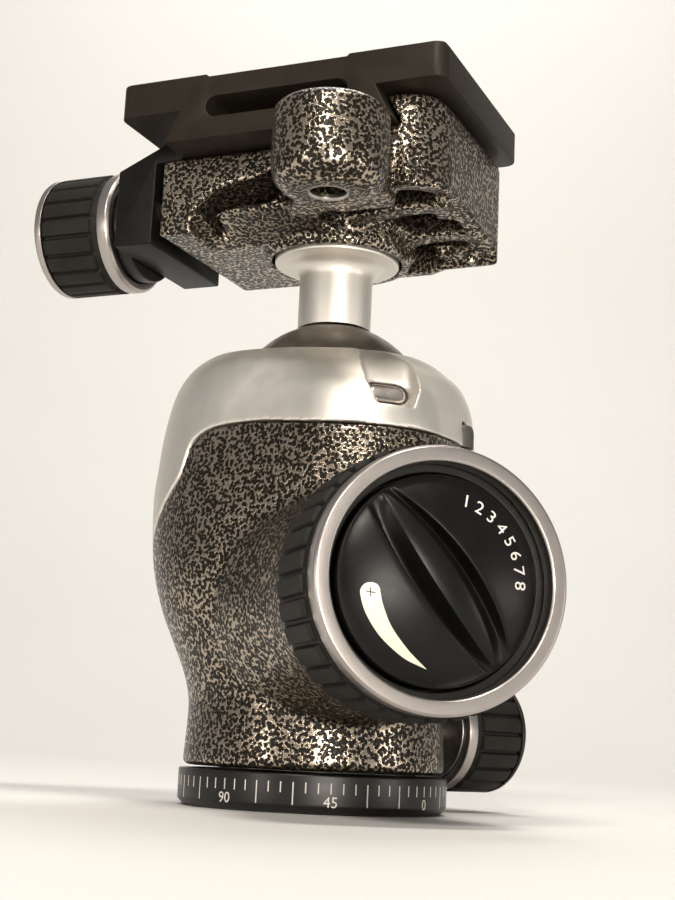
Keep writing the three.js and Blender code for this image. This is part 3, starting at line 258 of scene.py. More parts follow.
# %% A small helper for node trees
class Finish:
    def __init__(self, name, slot, colour=(0.5, 0.5, 0.5), metallic=0.0, roughness=0.5):
        self.material = bpy.data.materials.new(name)
        self.material.use_nodes = True
        self.tree = self.material.node_tree
        self.shader = self.tree.nodes["Principled BSDF"]
        self.shader.inputs["Base Color"].default_value = (*colour, 1)
        self.shader.inputs["Metallic"].default_value = metallic
        self.shader.inputs["Roughness"].default_value = roughness
        coordinates = self.node("ShaderNodeTexCoord")
        self.mm = self.node("ShaderNodeVectorMath", operation="SCALE")
        self.mm.inputs["Scale"].default_value = 1 / MM
        self.link(coordinates.outputs["Object"], self.mm.inputs[0])
        self.mm = self.mm.outputs[0]
        SLOT[name] = slot

    def node(self, kind, **settings):
        made = self.tree.nodes.new(kind)
        for key, value in settings.items():
            setattr(made, key, value)
        return made

    def link(self, source, target):
        self.tree.links.new(source, target)

    def noise(self, scale, detail=2.0, roughness=0.5, vector=None):
        made = self.node("ShaderNodeTexNoise")
        made.inputs["Scale"].default_value = scale
        made.inputs["Detail"].default_value = detail
        made.inputs["Roughness"].default_value = roughness
        self.link(vector or self.mm, made.inputs["Vector"])
        return made

    def ranged(self, value, low, high, to_low, to_high, smooth=True):
        made = self.node("ShaderNodeMapRange")
        made.interpolation_type = "SMOOTHSTEP" if smooth else "LINEAR"
        for key, number in (("From Min", low), ("From Max", high), ("To Min", to_low), ("To Max", to_high)):
            made.inputs[key].default_value = number
        self.link(value, made.inputs["Value"])
        return made.outputs["Result"]

    def maths(self, operation, a, b):
        made = self.node("ShaderNodeMath", operation=operation)
        for socket, value in zip(made.inputs, (a, b)):
            if isinstance(value, (int, float)):
                socket.default_value = value
            else:
                self.link(value, socket)
        return made.outputs[0]

    def mixed(self, factor, first, second):
        made = self.node("ShaderNodeMix", data_type="RGBA")
        self.link(factor, made.inputs["Factor"])
        made.inputs["A"].default_value = (*first, 1)
        made.inputs["B"].default_value = (*second, 1)
        return made.outputs["Result"]

    def colour(self, socket):
        self.link(socket, self.shader.inputs["Base Color"])

    def roughness(self, socket):
        self.link(socket, self.shader.inputs["Roughness"])

    def bump(self, height, distance, strength=1.0):
        made = self.node("ShaderNodeBump")
        made.inputs["Distance"].default_value = distance * MM
        made.inputs["Strength"].default_value = strength
        self.link(height, made.inputs["Height"])
        self.link(made.outputs["Normal"], self.shader.inputs["Normal"])

    def cloudy(self, scale, detail, low, high):
        """A noise that wanders between two values."""
        return self.ranged(self.noise(scale, detail).outputs["Fac"], 0.3, 0.7, low, high)

    def mottle(self, scale, detail, dark, light):
        self.colour(self.mixed(self.cloudy(scale, detail, 0, 1), dark, light))

    def uneven_gloss(self, scale, detail, low, high):
        self.roughness(self.cloudy(scale, detail, low, high))

    def grain(self, scale, detail, depth, strength):
        self.bump(self.noise(scale, detail).outputs["Fac"], depth, strength)


# %% [markdown]
# Hammer finish: a silicone-laced paint that pulls apart into dark islands while it dries, with bright
# metal between them. Distance to scattered points gives round islands that merge where they meet, and
# a little noise bends and swells them. The same field lowers the islands so that the gloss breaks up.

# %% Hammer finish
def hammered_finish():
    dark_paint = (0.010, 0.007, 0.004)
    bare_metal = (0.43, 0.365, 0.29)
    f = Finish("hammered", "hammered", metallic=0.9, roughness=0.3)
    bend = f.noise(2.6, 2.0)
    push = f.node("ShaderNodeVectorMath", operation="MULTIPLY_ADD")
    f.link(bend.outputs["Color"], push.inputs[0])
    push.inputs[1].default_value = (0.40, 0.40, 0.40)
    f.link(f.mm, push.inputs[2])
    points = f.node("ShaderNodeTexVoronoi", feature="F1")
    points.inputs["Scale"].default_value = 1.78
    f.link(push.outputs[0], points.inputs["Vector"])
    uneven = f.noise(2.15, 1.0)
    field = f.maths("ADD", points.outputs["Distance"],
                    f.maths("MULTIPLY", f.maths("SUBTRACT", uneven.outputs["Fac"], 0.5), 0.5))
    metal = f.ranged(field, 0.54, 0.66, 0.0, 1.0)
    f.colour(f.mixed(metal, dark_paint, bare_metal))
    f.link(f.ranged(metal, 0, 1, 0.25, 0.95), f.shader.inputs["Metallic"])
    f.shader.inputs["Specular IOR Level"].default_value = 0.25
    f.roughness(f.ranged(metal, 0, 1, 0.28, 0.24))
    f.bump(f.ranged(field, 0.25, 0.75, 0.0, 1.0), 0.08, 0.7)
    return f.material


# %% [markdown]
# Blasted aluminium: glass beads leave an even, fine grain that spreads every highlight. An image texture
# would show its seams on the collar's long curves, so three noises do it: a broad faint one for handling
# marks, one that makes the gloss uneven, and a fine one at the size of the bead marks. The knob rings,
# the ball's dull coat, steel and brass are made the same way with other numbers.

# %% Metals
def blasted_finish():
    f = Finish("blasted", "blasted", metallic=1.0, roughness=0.4)
    f.mottle(0.12, 3.0, (0.78, 0.745, 0.69), (0.81, 0.775, 0.72))
    f.uneven_gloss(0.5, 3.0, 0.47, 0.50)
    f.grain(8.0, 2.0, 0.02, 0.35)
    return f.material


def ring_finish():
    f = Finish("ring_silver", "ring_silver", metallic=1.0, roughness=0.3)
    f.mottle(0.2, 2.0, (0.44, 0.405, 0.385), (0.46, 0.425, 0.40))
    f.uneven_gloss(1.2, 4.0, 0.31, 0.34)
    f.grain(9.0, 2.0, 0.012, 0.25)
    return f.material


def ball_finish():
    f = Finish("ball_coat", "ball_coat", metallic=0.8, roughness=0.36)
    f.mottle(0.25, 3.0, (0.20, 0.175, 0.15), (0.25, 0.22, 0.19))
    f.uneven_gloss(0.8, 4.0, 0.3, 0.42)
    f.grain(6.0, 2.0, 0.02, 0.3)
    return f.material


def plain_metal(name, slot, dark, light, roughness):
    f = Finish(name, slot, metallic=1.0, roughness=roughness)
    f.mottle(0.8, 4.0, dark, light)
    f.uneven_gloss(2.5, 3.0, roughness - 0.02, roughness + 0.03)
    f.grain(5.0, 3.0, 0.01, 0.25)
    return f.material


hammered = hammered_finish()
blasted = blasted_finish()
ring_silver = ring_finish()
ball_coat = ball_finish()
steel = plain_metal("steel", "steel", (0.40, 0.39, 0.37), (0.50, 0.48, 0.46), 0.3)
brass = plain_metal("brass", "brass", (0.55, 0.40, 0.18), (0.66, 0.49, 0.25), 0.32)
print("metal finishes", len(SLOT))


# %% [markdown]
# Black parts differ mostly in gloss: satin paint on the knob faces, a hard anodised skin on plate and
# jaw, matt rubber on the grips. White and cream paint fill the engravings. One function takes a dark and
# a light shade, the gloss and the size of the grain, and the calls below read like a paint chart. A low
# `glint` keeps black parts black, since the default reflects more than these dull skins do.

# %% Blacks, rubber and paints
def coated_finish(name, slot, dark, light, roughness, grain, depth, metallic=0.0, coat=0.0, glint=0.5):
    f = Finish(name, slot, metallic=metallic, roughness=roughness)
    f.shader.inputs["Specular IOR Level"].default_value = glint
    f.shader.inputs["Coat Weight"].default_value = coat
    f.shader.inputs["Coat Roughness"].default_value = 0.12
    f.mottle(0.3, 4.0, dark, light)
    f.uneven_gloss(1.0, 4.0, roughness - 0.015, roughness + 0.02)
    f.grain(grain, 2.0, depth, 0.4)
    return f.material


satin_black = coated_finish("satin_black", "satin_black", (0.006, 0.006, 0.005), (0.009, 0.008, 0.007), 0.34,
                            6.0, 0.02, glint=0.35)
ring_black = coated_finish("ring_black", "satin_black", (0.008, 0.007, 0.006), (0.012, 0.010, 0.009), 0.34,
                           8.0, 0.02, metallic=0.2)
dial_black = coated_finish("dial_black", "satin_black", (0.004, 0.004, 0.004), (0.006, 0.005, 0.005), 0.32,
                           6.0, 0.015, glint=0.2)
anodised = coated_finish("anodised", "anodised", (0.017, 0.013, 0.009), (0.020, 0.016, 0.011), 0.44,
                         7.0, 0.03, metallic=0.2, glint=0.2)
jaw_black = coated_finish("jaw_black", "satin_black", (0.005, 0.005, 0.004), (0.008, 0.007, 0.006), 0.42,
                          7.0, 0.02, glint=0.16)
rubber = coated_finish("rubber", "rubber", (0.009, 0.008, 0.006), (0.014, 0.012, 0.010), 0.6,
                       3.0, 0.04, glint=0.2)
nylon = coated_finish("nylon", "nylon", (0.55, 0.53, 0.48), (0.62, 0.60, 0.55), 0.5, 4.0, 0.02)
# Olive black for the collar pin: partly the pin's own dark, partly painted shade for the recess round it.
pin_dark_and_shade = coated_finish("pin_dark_and_painted_shade", "satin_black", (0.035, 0.036, 0.028), (0.048, 0.049, 0.038), 0.45,
                      5.0, 0.02)
insert_gloss = coated_finish("insert_gloss", "satin_black", (0.30, 0.27, 0.25), (0.42, 0.38, 0.36), 0.24,
                             4.0, 0.01, metallic=0.85, coat=0.4)
white_paint = coated_finish("white_paint", "satin_black", (0.66, 0.64, 0.60), (0.74, 0.72, 0.68), 0.5,
                            8.0, 0.01)
cream_paint = coated_finish("cream_paint", "satin_black", (0.74, 0.71, 0.58), (0.80, 0.77, 0.65), 0.45,
                            8.0, 0.01)
print("finishes so far", len(SLOT))

# %% [markdown]
# The level's fluid is the one clear finish. Transmission with the index of a light oil lets the drum show
# through, and a faint mottle in the tint keeps it from looking like a flat disc.

# %% Clear fluid
def clear_finish(name, slot, colour, roughness, density):
    f = Finish(name, slot, colour=colour, roughness=roughness)
    f.shader.inputs["Transmission Weight"].default_value = 0.85
    f.shader.inputs["IOR"].default_value = 1.4
    f.mottle(0.4, 2.0, colour, tuple(c * density for c in colour))
    return f.material


fluid = clear_finish("vial_fluid", "vial_fluid", (0.55, 0.72, 0.16), 0.05, 0.9)
print("finishes", len(SLOT))

# %% [markdown]
# ## Base
#
# The index ring stands still on the tripod while the head pans over it. It is a black turned ring with a
# bevel at its foot. A cylinder with a bevel modifier would come close, but a turned profile gives each
# edge a round of its own and leaves tidy rings of faces.

# %% Index ring
fit_gap = 0.3
ring_corner = span("index_ring")[1]
base_radius = ring_corner.x
base_height = ring_corner.z
ring_bore = span("base_disc")[1].x + fit_gap
foot_bevel = 1.0
top_step = 0.25
lathed("index_ring_turned", [
    (ring_bore, 0), (base_radius - foot_bevel, 0, 0.3), (base_radius, foot_bevel, 0.3),
    (base_radius, base_height, 0.25), (base_radius - 2.2, base_height, 0.1),
    (base_radius - 2.3, base_height - top_step, 0.1), (ring_bore, base_height - top_step),
], "base", ring_black, "index_ring", steps=240)
print("index ring radius", round(base_radius, 2), "height", round(base_height, 2))

# %% [markdown]
# Its scale is engraved and filled with white paint. Cutting 72 grooves would cost many faces for lines a
# sixth of a millimetre wide, so each stroke is a thin slip laid a hair proud of the ring and bent round
# the same radius. Every third stroke is long, but the ones that have a number below them stay short.

# %% Engraved scale
stroke_top = base_height - 1.12
short_stroke = 1.5
long_stroke = 3.15
stroke_width = 0.17
stroke_step = 5
number_step = 45
proud = 0.02
sunk = 0.3
zero_yaw = 35.2


def on_ring(x, z, yaw, radius):
    """A point x sideways and z up from a spot on the ring's side, bent round it."""
    turn = math.radians(yaw) + x / radius
    return radius * math.sin(turn), -radius * math.cos(turn), z


def ring_slip(bm, yaw, width, low, high):
    corners = []
    for radius in (base_radius - sunk, base_radius + proud):
        corners += [bm.verts.new(on_ring(x, z, yaw, radius))
                    for x, z in ((-width / 2, low), (width / 2, low), (width / 2, high), (-width / 2, high))]
    a, b, c, d, e, g, h, i = corners
    for face in ((d, c, b, a), (e, g, h, i), (a, b, g, e), (b, c, h, g), (c, d, i, h), (d, a, e, i)):
        bm.faces.new(face)


scale = bmesh.new()
for mark in range(0, 360, stroke_step):
    is_long = mark % (3 * stroke_step) == 0 and mark % number_step != 0
    stroke = long_stroke if is_long else short_stroke
    ring_slip(scale, zero_yaw - mark, stroke_width, stroke_top - stroke, stroke_top)
settle(as_object("index_ring_strokes", scale), "base", white_paint)
print("strokes", 360 // stroke_step)

# %% [markdown]
# Numbers stand below the scale every 45 degrees. Blender's text object gives clean outlines from its
# built-in font. Turned into a mesh, its points can be bent round the ring by the function that bends the
# strokes, which a text object that is only rotated can't do.

# %% Numbers on the ring
digit_height = 1.5
digit_low = stroke_top - short_stroke - 0.35 - digit_height
cap_height_share = 0.7
text_thickness = 0.1


def lettering(words, height):
    """Numbers as a closed mesh lying in the XY plane, centred on the origin."""
    curve = bpy.data.curves.new("lettering", "FONT")
    curve.body = words
    curve.size = height / cap_height_share
    curve.extrude = text_thickness
    curve.align_x = "CENTER"
    curve.align_y = "BOTTOM_BASELINE"
    curve.resolution_u = 3
    obj = bpy.data.objects.new("lettering", curve)
    bpy.context.scene.collection.objects.link(obj)
    graph = bpy.context.evaluated_depsgraph_get()
    bm = bmesh.new()
    bm.from_mesh(obj.evaluated_get(graph).to_mesh())
    bpy.data.objects.remove(obj)
    bmesh.ops.remove_doubles(bm, verts=bm.verts, dist=1e-5)
    return bm


def lettered(words, height, bent):
    """All words in one mesh, where bent gives the place of a point from the word's number and its x, y, z."""
    together = bmesh.new()
    for index, word in enumerate(words):
        letters = lettering(word, height)
        for vertex in letters.verts:
            vertex.co = bent(index, *vertex.co)
        mesh = bpy.data.meshes.new("letters")
        letters.to_mesh(mesh)
        letters.free()
        together.from_mesh(mesh)
    return together


def below_scale(index, x, y, z):
    radius = base_radius + (proud if z > 0 else -sunk)
    return on_ring(x, digit_low + y, zero_yaw - number_step * index, radius)


words = [str(mark) for mark in range(0, 360, number_step)]
settle(as_object("index_ring_numbers", lettered(words, digit_height, below_scale)), "base", white_paint)
print("numbers", words)

# %% [markdown]
# Under the ring sits the turned disc, in one piece with the spindle that the head pans on. Only its
# underside with one turned groove shows. It is turned like the ring.

# %% Base disc
disc_corner = span("base_disc")[1]
disc_radius = disc_corner.x
disc_top = disc_corner.z
bush_corner = span("thread_bush")[1]
bush_radius = bush_corner.x
bush_top = bush_corner.z
bush_seat = bush_radius + 0.25
spindle_radius = 10.0
neck_radius = 8.2
neck_height = 15.6
groove = 0.35
lathed("base_disc_turned", [
    (bush_seat, 0, 0.3), (11.2, 0), (11.4, groove), (12.0, groove), (12.2, 0), (disc_radius, 0, 0.3),
    (disc_radius, base_height), (spindle_radius, base_height), (spindle_radius, neck_height),
    (neck_radius, neck_height), (neck_radius, disc_top), (bush_seat, disc_top),
], "base", ring_black, "base_disc", edge=0.12, steps=180)
print("disc radius", round(disc_radius, 2), "spindle top", round(disc_top, 2))

# %% [markdown]
# At the disc's middle sits the threaded bush for the tripod screw. Its thread shows from below, where
# bump in a material would leave the hole's edge smooth. So the bush gets real turns: a bore whose radius
# follows a saw-tooth that climbs one pitch each turn.

# %% Threaded bush
bush_pitch = 1.588
bush_crest = 4.1
bush_root = 4.6
bush_floor = 13.4


def threaded_bore(outer, crest, root, pitch, low, high, floor, steps=48):
    """A bush with turns inside: each column of points carries the thread shifted by its angle."""
    def ring_at(radius, z):
        return [(radius * math.cos(2 * math.pi * k / steps), radius * math.sin(2 * math.pi * k / steps), z)
                for k in range(steps)]

    turns = int((floor - low) / pitch * 4)
    rows = [[] for _ in range(turns + 1)]
    for k in range(steps):
        angle = 2 * math.pi * k / steps
        for i in range(turns + 1):
            z = low + (floor - low) * i / turns
            phase = (z / pitch - k / steps) % 1.0
            depth = abs(phase * 2 - 1)
            fade = min(1.0, (z - low) / pitch * 1.2, (floor - z) / pitch * 1.2)
            radius = crest + (root - crest) * depth * fade
            rows[i].append((radius * math.cos(angle), radius * math.sin(angle), z))
    outside = [ring_at(outer, high), ring_at(outer, low + 0.3), ring_at(outer - 0.3, low),
               ring_at(crest + 0.3, low)]
    return grid_skin(outside + rows)


bush_bore = threaded_bore(bush_radius, bush_crest, bush_root, bush_pitch, 0, bush_top, bush_floor)
settle(as_object("thread_bush_cut", bush_bore), "base", steel, ["thread_bush"])
print("bush", round(bush_radius, 2), "to height", round(bush_top, 2))

# %% [markdown]
# ## Housing
#
# The body of the head is a casting whose plan is egg-shaped: a round back and a smaller nose toward
# the knob. Sculpting it by hand would make the two halves hard to fit at their seam. Here each level is
# the hull of two circles, and the levels follow a short table of shares between three heights: the foot
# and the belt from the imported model, and the rim from the insert in the thumb notch, which sits a fixed
# way below it. A Catmull-Rom spline through the rows gives the fine skin.

# %% Housing skin
foot_low = span("front_housing")[0].z
notch_height = 11.9
notch_foot = span("notch_insert")[0].z - 0.15
rim_height = notch_foot + notch_height
cavity_radius = span("ball")[1].x + fit_gap
belt_radius = cavity_radius + 9.6
foot_radius = base_radius - 0.45
rim_radius = cavity_radius * 0.8 + 1.4
belt_height = ball_centre - 13.74
nose_share = 0.53
# Each row: way up, way outward, setback and nose reach as shares of the radius, and lean.
foot_to_belt_shares = [
    (0.000, 0.00, 0.000, 1.000, 0.00), (0.150, -0.06, 0.000, 1.000, 0.00), (0.249, -0.07, 0.020, 1.025, 0.00),
    (0.347, 0.08, 0.039, 1.063, 0.00), (0.458, 0.37, 0.062, 1.084, 0.00), (0.594, 0.71, 0.089, 1.081, 0.00),
    (0.766, 0.95, 0.123, 1.073, 0.00), (1.000, 1.00, 0.174, 1.076, 0.00),
]
belt_to_rim_shares = [
    (0.219, 0.043, 0.193, 1.093, 0.00), (0.418, 0.087, 0.197, 1.098, 0.00),
    (0.618, 0.156, 0.163, 1.073, 0.03), (0.737, 0.242, 0.140, 1.042, 0.06),
    (0.841, 0.381, 0.118, 1.018, 0.08), (0.912, 0.567, 0.096, 1.005, 0.10),
    (0.964, 0.787, 0.052, 1.000, 0.10), (1.000, 1.000, 0.020, 1.000, 0.10),
]


def housing_rows():
    """Rows of height, radius, setback, nose reach and lean, in millimetres."""
    rows = []
    for table, z0, z1, r0, r1 in ((foot_to_belt_shares, foot_low, belt_height, foot_radius, belt_radius),
                                  (belt_to_rim_shares, belt_height, rim_height, belt_radius, rim_radius)):
        for rise, grow, setback, nose, lean in table:
            radius = r0 + (r1 - r0) * grow
            rows.append((z0 + (z1 - z0) * rise, radius, radius * setback, radius * nose, lean))
    return np.array(rows)


def spline_rows(rows, between=6):
    """Catmull-Rom rows between the given ones."""
    padded = np.vstack([2 * rows[0] - rows[1], rows, 2 * rows[-1] - rows[-2]])
    out = []
    for i in range(1, len(padded) - 2):
        p0, p1, p2, p3 = padded[i - 1:i + 3]
        for s in range(between):
            t = s / between
            out.append(0.5 * (2 * p1 + (p2 - p0) * t + (2 * p0 - 5 * p1 + 4 * p2 - p3) * t * t
                              + (3 * p1 - p0 - 3 * p2 + p3) * t ** 3))
    out.append(rows[-1])
    return np.array(out)


def housing_section(z, radius, setback, nose, lean, steps=120):
    nose_radius = radius * nose_share
    nose_centre = nose_radius - nose
    points = []
    for k in range(steps):
        angle = 2 * math.pi * k / steps
        facing = math.sin(angle)
        on_nose = nose_centre * facing + nose_radius > setback * facing + radius
        reach = nose_radius if on_nose else radius
        y = (nose_centre if on_nose else setback) + reach * facing
        points.append((reach * math.cos(angle), y, z + lean * (y - setback)))
    return points


def housing_skin(between=6, steps=120):
    return as_object("housing_blank", grid_skin([housing_section(*row, steps=steps)
                                                 for row in spline_rows(housing_rows(), between)]))


print("housing from", round(foot_low, 2), "to", round(rim_height, 2))

# %% [markdown]
# The seam between casting and silver collar is drawn in side view and swept across the part. Knife
# cuts along a drawn curve would follow one surface only, and the halves would drift apart. One closed
# tool does both jobs: cropping the collar with it, and, moved by a small gap, cutting the casting. That
# keeps the two edges parallel all the way round.

# %% Seam
collar_seam = rim_height - 15.1
seam_shares = [
    (-1.140, 0.969), (-0.850, 0.983), (-0.600, 0.998), (-0.360, 0.994), (-0.215, 0.966), (-0.163, 0.927),
    (-0.115, 0.842), (0.085, 0.755), (0.305, 0.674), (0.530, 0.476), (0.680, 0.279), (0.690, 0.080),
]


def seam_region(shift=0.0, far=140.0):
    """Everything behind and above the seam, moved forward and down by shift."""
    rise = collar_seam - foot_low
    side = np.array([(belt_radius * back - shift, foot_low + rise * up - shift, 0)
                     for back, up in seam_shares])
    smooth = spline_rows(side, between=5)
    outline = [(-far, smooth[0][1])] + [(y, z) for y, z, _ in smooth]
    outline += [(outline[-1][0], -far), (far, -far), (far, far), (-far, far)]
    return as_object("region", grid_skin([[(x, y, z) for y, z in outline] for x in (-far, far)]))


print("seam at height", round(collar_seam, 2), "points", len(seam_shares))

# %% [markdown]
# Both halves are hollow in the same way: a bore for the spindle and its nut below, a seat for the ball
# cup, and the ball's cavity above. On the real head they are machined after casting. Here each is one
# closed tool turned from the sizes of the parts that go in, so that nothing can touch. The small pin on
# the seam gets a pocket in both halves.

# %% Bores and pockets
mouth_angle = 38
nut_room = 0.5
pin_outward = 0.9
pin_wider = 0.5


def inner_room():
    """The bore, cup seat and ball cavity, as one turned tool."""
    cup_radius = span("ball_cup")[1].x + fit_gap
    cup_low = span("ball_cup")[0].z - fit_gap
    piston_radius = span("lift_piston")[1].x + fit_gap
    piston_low = span("lift_piston")[0].z - 1
    half = math.asin(cup_radius / cavity_radius)
    arc = [(cavity_radius * math.sin(a), ball_centre + cavity_radius * math.cos(a))
           for a in np.linspace(math.pi - half, math.radians(mouth_angle), 24)]
    profile = [(0, piston_low), (piston_radius, piston_low), (piston_radius, cup_low), (cup_radius, cup_low)]
    return as_object("room", turned(profile + arc + [(0, arc[-1][1])], steps=96))


def bottom_bore():
    """The room for spindle and ring nut, as one turned tool."""
    bore = spindle_radius + fit_gap
    nut_radius = span("spindle_nut")[1].x + fit_gap
    nut_low = span("spindle_nut")[0].z - fit_gap
    nut_high = disc_top + nut_room
    profile = [(0, -5), (bore, -5), (bore, nut_low), (nut_radius, nut_low), (nut_radius, nut_high),
               (0, nut_high)]
    return as_object("bore", turned(profile, steps=96))


def rod_tool(radius, low, high, place, steps=64):
    return as_object("rod", turned([(0, low), (radius, low), (radius, high), (0, high)], steps=steps), place)


def below_foot():
    """Everything lower than the housing's foot."""
    return rod_tool(90, -80, foot_low, WORLD)


def measure(node, place=WORLD):
    """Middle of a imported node's box and its half sizes, in a working frame."""
    low, high = span(node, place)
    return (low + high) / 2, (high - low) / 2


def pin_seat():
    """Frame, radius and half height of the pin that stands on the seam and bulges out of the collar."""
    centre, half = measure("collar_pin")
    outward = Vector((centre.x, centre.y, 0)).normalized()
    return Matrix.Translation(centre + outward * pin_outward), half.x + pin_wider, half.z


def pin_pocket():
    place, radius, half_height = pin_seat()
    return rod_tool(radius + fit_gap, -half_height - fit_gap, half_height + fit_gap, place)


print("cavity radius", round(cavity_radius, 2), "mouth cut at", mouth_angle, "degrees")


# %% [markdown]
# The casting is the skin joined with the knob's boss. On the real part the two flow into each other
# through a wide foundry radius. Joining the rough shapes, rebuilding them on an even grid and relaxing
# that grid gives the same flow without modelling the blend by hand.

# %% Front housing
boss_radius = 16.2
boss_reach = span("front_housing")[0].y * -1
boss_shares = [(1.31, 0.00), (1.27, 0.23), (1.20, 0.42), (1.11, 0.56), (1.04, 0.70), (1.00, 0.84),
               (1.00, 1.00)]
lock_bore = 5.3
lock_bore_end = -6.3
pan_bore = 2.8
pan_bore_start = 9
pan_bore_end = 26


def front_housing():
    boss_rows = np.array([(boss_radius * wide, boss_reach * out, 0) for wide, out in boss_shares])
    profile = [(0, 0)] + [(r, d) for r, d, _ in spline_rows(boss_rows, between=4)]
    profile += [(boss_radius - 0.35, boss_reach), (0, boss_reach)]
    boss = as_object("boss", turned(softened(profile, edge=0.3), steps=140), LOCK)
    boss = combine(boss, below_foot(), "DIFFERENCE")
    body = combine(housing_skin(), boss, "UNION")
    cast(body, 0.45, 14)
    combine(body, below_foot(), "DIFFERENCE")
    for tool in (seam_region(fit_gap), inner_room(), bottom_bore(),
                 rod_tool(lock_bore, lock_bore_end, boss_reach + 2, LOCK),
                 rod_tool(pan_bore, pan_bore_start, pan_bore_end, PAN), pin_pocket()):
        combine(body, tool, "DIFFERENCE")
    cast(body, 0.33, 3)
    body.name = "front_housing_cast"
    return settle(body, "housing", hammered, ["front_housing"], angle=60)


front_piece = front_housing()
print("front housing faces", len(front_piece.data.polygons))

# %% [markdown]
# ## Collar
#
# In front the silver collar has a thumb notch with a small dark insert at its foot. The notch is a loft
# that widens and runs deeper toward the mouth. The insert is a lens lofted from capsule outlines that
# lean back with the notch's floor, and the same loft, grown a little, cuts its pocket.

# %% Notch and insert
notch_width = 10.0
notch_round = 1.6
# Each row: way up, middle and half width as shares of the notch's width, floor as a share of the belt.
notch_shares = [
    (-0.10, 0.160, 0.29, 0.880), (0.06, 0.170, 0.36, 0.852), (0.20, 0.190, 0.42, 0.826),
    (0.53, 0.240, 0.46, 0.712), (0.86, 0.340, 0.50, 0.587), (1.15, 0.420, 0.52, 0.480),
]
lens_slope = 0.5
lens_crown = 0.6
lens_inset = 0.85


def notch_tool():
    rows = spline_rows(np.array(notch_shares), between=5)
    return as_object("notch", grid_skin([rounded_row(
        notch_width * (middle - half), notch_width * (middle + half), -60, -belt_radius * floor, notch_round,
        rim_height - notch_height * (1 - rise)) for rise, middle, half, floor in rows]))


def stadium(half, radius, y, centre, steps=20):
    """A capsule outline in the XZ plane, leaning back with the notch's floor."""
    row = []
    for side, start in ((1, -0.5), (-1, 0.5)):
        for i in range(steps + 1):
            angle = math.pi * (start + i / steps)
            out = radius * math.cos(angle)
            up = radius * math.sin(angle)
            row.append((centre.x + side * half + out, y + lens_slope * up, centre.z + up))
    return row


def lens(grow=0.0):
    """The insert, or with a positive grow the pocket that it sits in."""
    centre, half = measure("notch_insert")
    front = centre.y - half.y + lens_slope * half.z
    rows = [stadium(half.x - half.z, half.z + grow, centre.y + half.y + grow, centre)]
    for a in np.linspace(0, math.pi / 2, 9):
        inset = lens_inset * (1 - math.cos(a)) if not grow else 0
        y = front + lens_crown * (1 - math.sin(a)) if not grow else front - 3 + 0.3 * (1 - a)
        rows.append(stadium(half.x - half.z, half.z + grow - inset, y, centre))
    return grid_skin(rows)


settle(as_object("notch_lens", lens()), "housing", insert_gloss, ["notch_insert"])
print("notch from height", round(notch_foot, 2), "to", round(rim_height, 2))

# %% [markdown]
# Behind, a spine runs from the collar down to the foot and covers the casting's back. It is lofted from
# rounded rectangles that narrow toward the top, so that it fades into the round of the back instead of
# ending in a ledge.

# %% Spine
spine_half = 15.5
spine_depth = 12.4
spine_round = 5.0
# Each row: way up to the seam, width, and reach backward as a share of the foot's radius.
spine_shares = [
    (0.000, 1.00, 1.11), (0.130, 1.00, 1.12), (0.310, 1.02, 1.20), (0.450, 1.00, 1.31), (0.570, 0.90, 1.39),
    (0.680, 0.72, 1.43), (0.780, 0.55, 1.42),
]


def spine():
    rows = spline_rows(np.array(spine_shares), between=6)
    return as_object("spine", grid_skin([rounded_row(
        -spine_half * wide, spine_half * wide, foot_radius * back - spine_depth, foot_radius * back,
        spine_round, foot_low + (collar_seam - foot_low) * rise) for rise, wide, back in rows]))


print("spine width", 2 * spine_half)

# %% [markdown]
# The collar itself is the same skin as the casting, cropped at the seam, so the two always match. Its
# rim is turned flat after casting, on a plane that leans back and a little to one side. The packed
# collar goes on as a dome instead, so the cut here takes a few millimetres off its top. One fine rebuild
# at the end softens every edge by a few tenths.

# %% Collar
rim_rise = 10.5
rim_lean = (0.055, 0.10)
mouth_bevel = 1.4
mouth_far = 45
mouth_top = 30
pocket_gap = 0.28


def mouth_tool():
    """Everything above the leaning rim, with the mouth's bore and bevel."""
    at_rim = math.sqrt(cavity_radius ** 2 - rim_rise ** 2)
    profile = [(0, 0), (at_rim, 0), (at_rim, rim_rise - mouth_bevel), (at_rim + mouth_bevel, rim_rise),
               (mouth_far, rim_rise), (mouth_far, mouth_top), (0, mouth_top)]
    sideways = Matrix.Rotation(-math.atan(rim_lean[0]), 4, "Y")
    backward = Matrix.Rotation(math.atan(rim_lean[1]), 4, "X")
    return as_object("mouth", turned(profile, steps=120),
                     Matrix.Translation((0, 0, ball_centre)) @ sideways @ backward)


def collar():
    body = combine(housing_skin(between=10, steps=200), spine(), "UNION")
    cast(body, 0.45, 10)
    combine(body, below_foot(), "DIFFERENCE")
    combine(body, seam_region(), "INTERSECT")
    for tool in (inner_room(), bottom_bore(), mouth_tool(), notch_tool(),
                 as_object("lens_pocket", lens(pocket_gap)),
                 rod_tool(lock_bore, lock_bore_end, 40, LOCK), pin_pocket()):
        combine(body, tool, "DIFFERENCE")
    cast(body, 0.28, 5)
    body.name = "collar_blasted"
    return settle(body, "housing", blasted, ["collar"], angle=60)


collar_piece = collar()
print("collar faces", len(collar_piece.data.polygons))

# %% [markdown]
# The pin beside the knob bulges out of the seam, with a domed end. Its olive black is partly the pin's
# own dark and partly painted shade, standing for the shade in the recess round it. The ball is turned
# here too, because the imported one has flats that show in its soft highlight. Its rings bunch up at the
# poles by themselves when the angle, and not the height, is stepped evenly.

# %% Pin and ball
pin_place, pin_radius, pin_half = pin_seat()
pin_dome = 1.7
lathed("collar_pin_domed", [
    (0, -pin_half), (pin_radius, -pin_half), (pin_radius, pin_half, pin_dome), (0, pin_half),
], "housing", pin_dark_and_shade, "collar_pin", pin_place, edge=0.1, rounds=8, steps=48, closed=False)

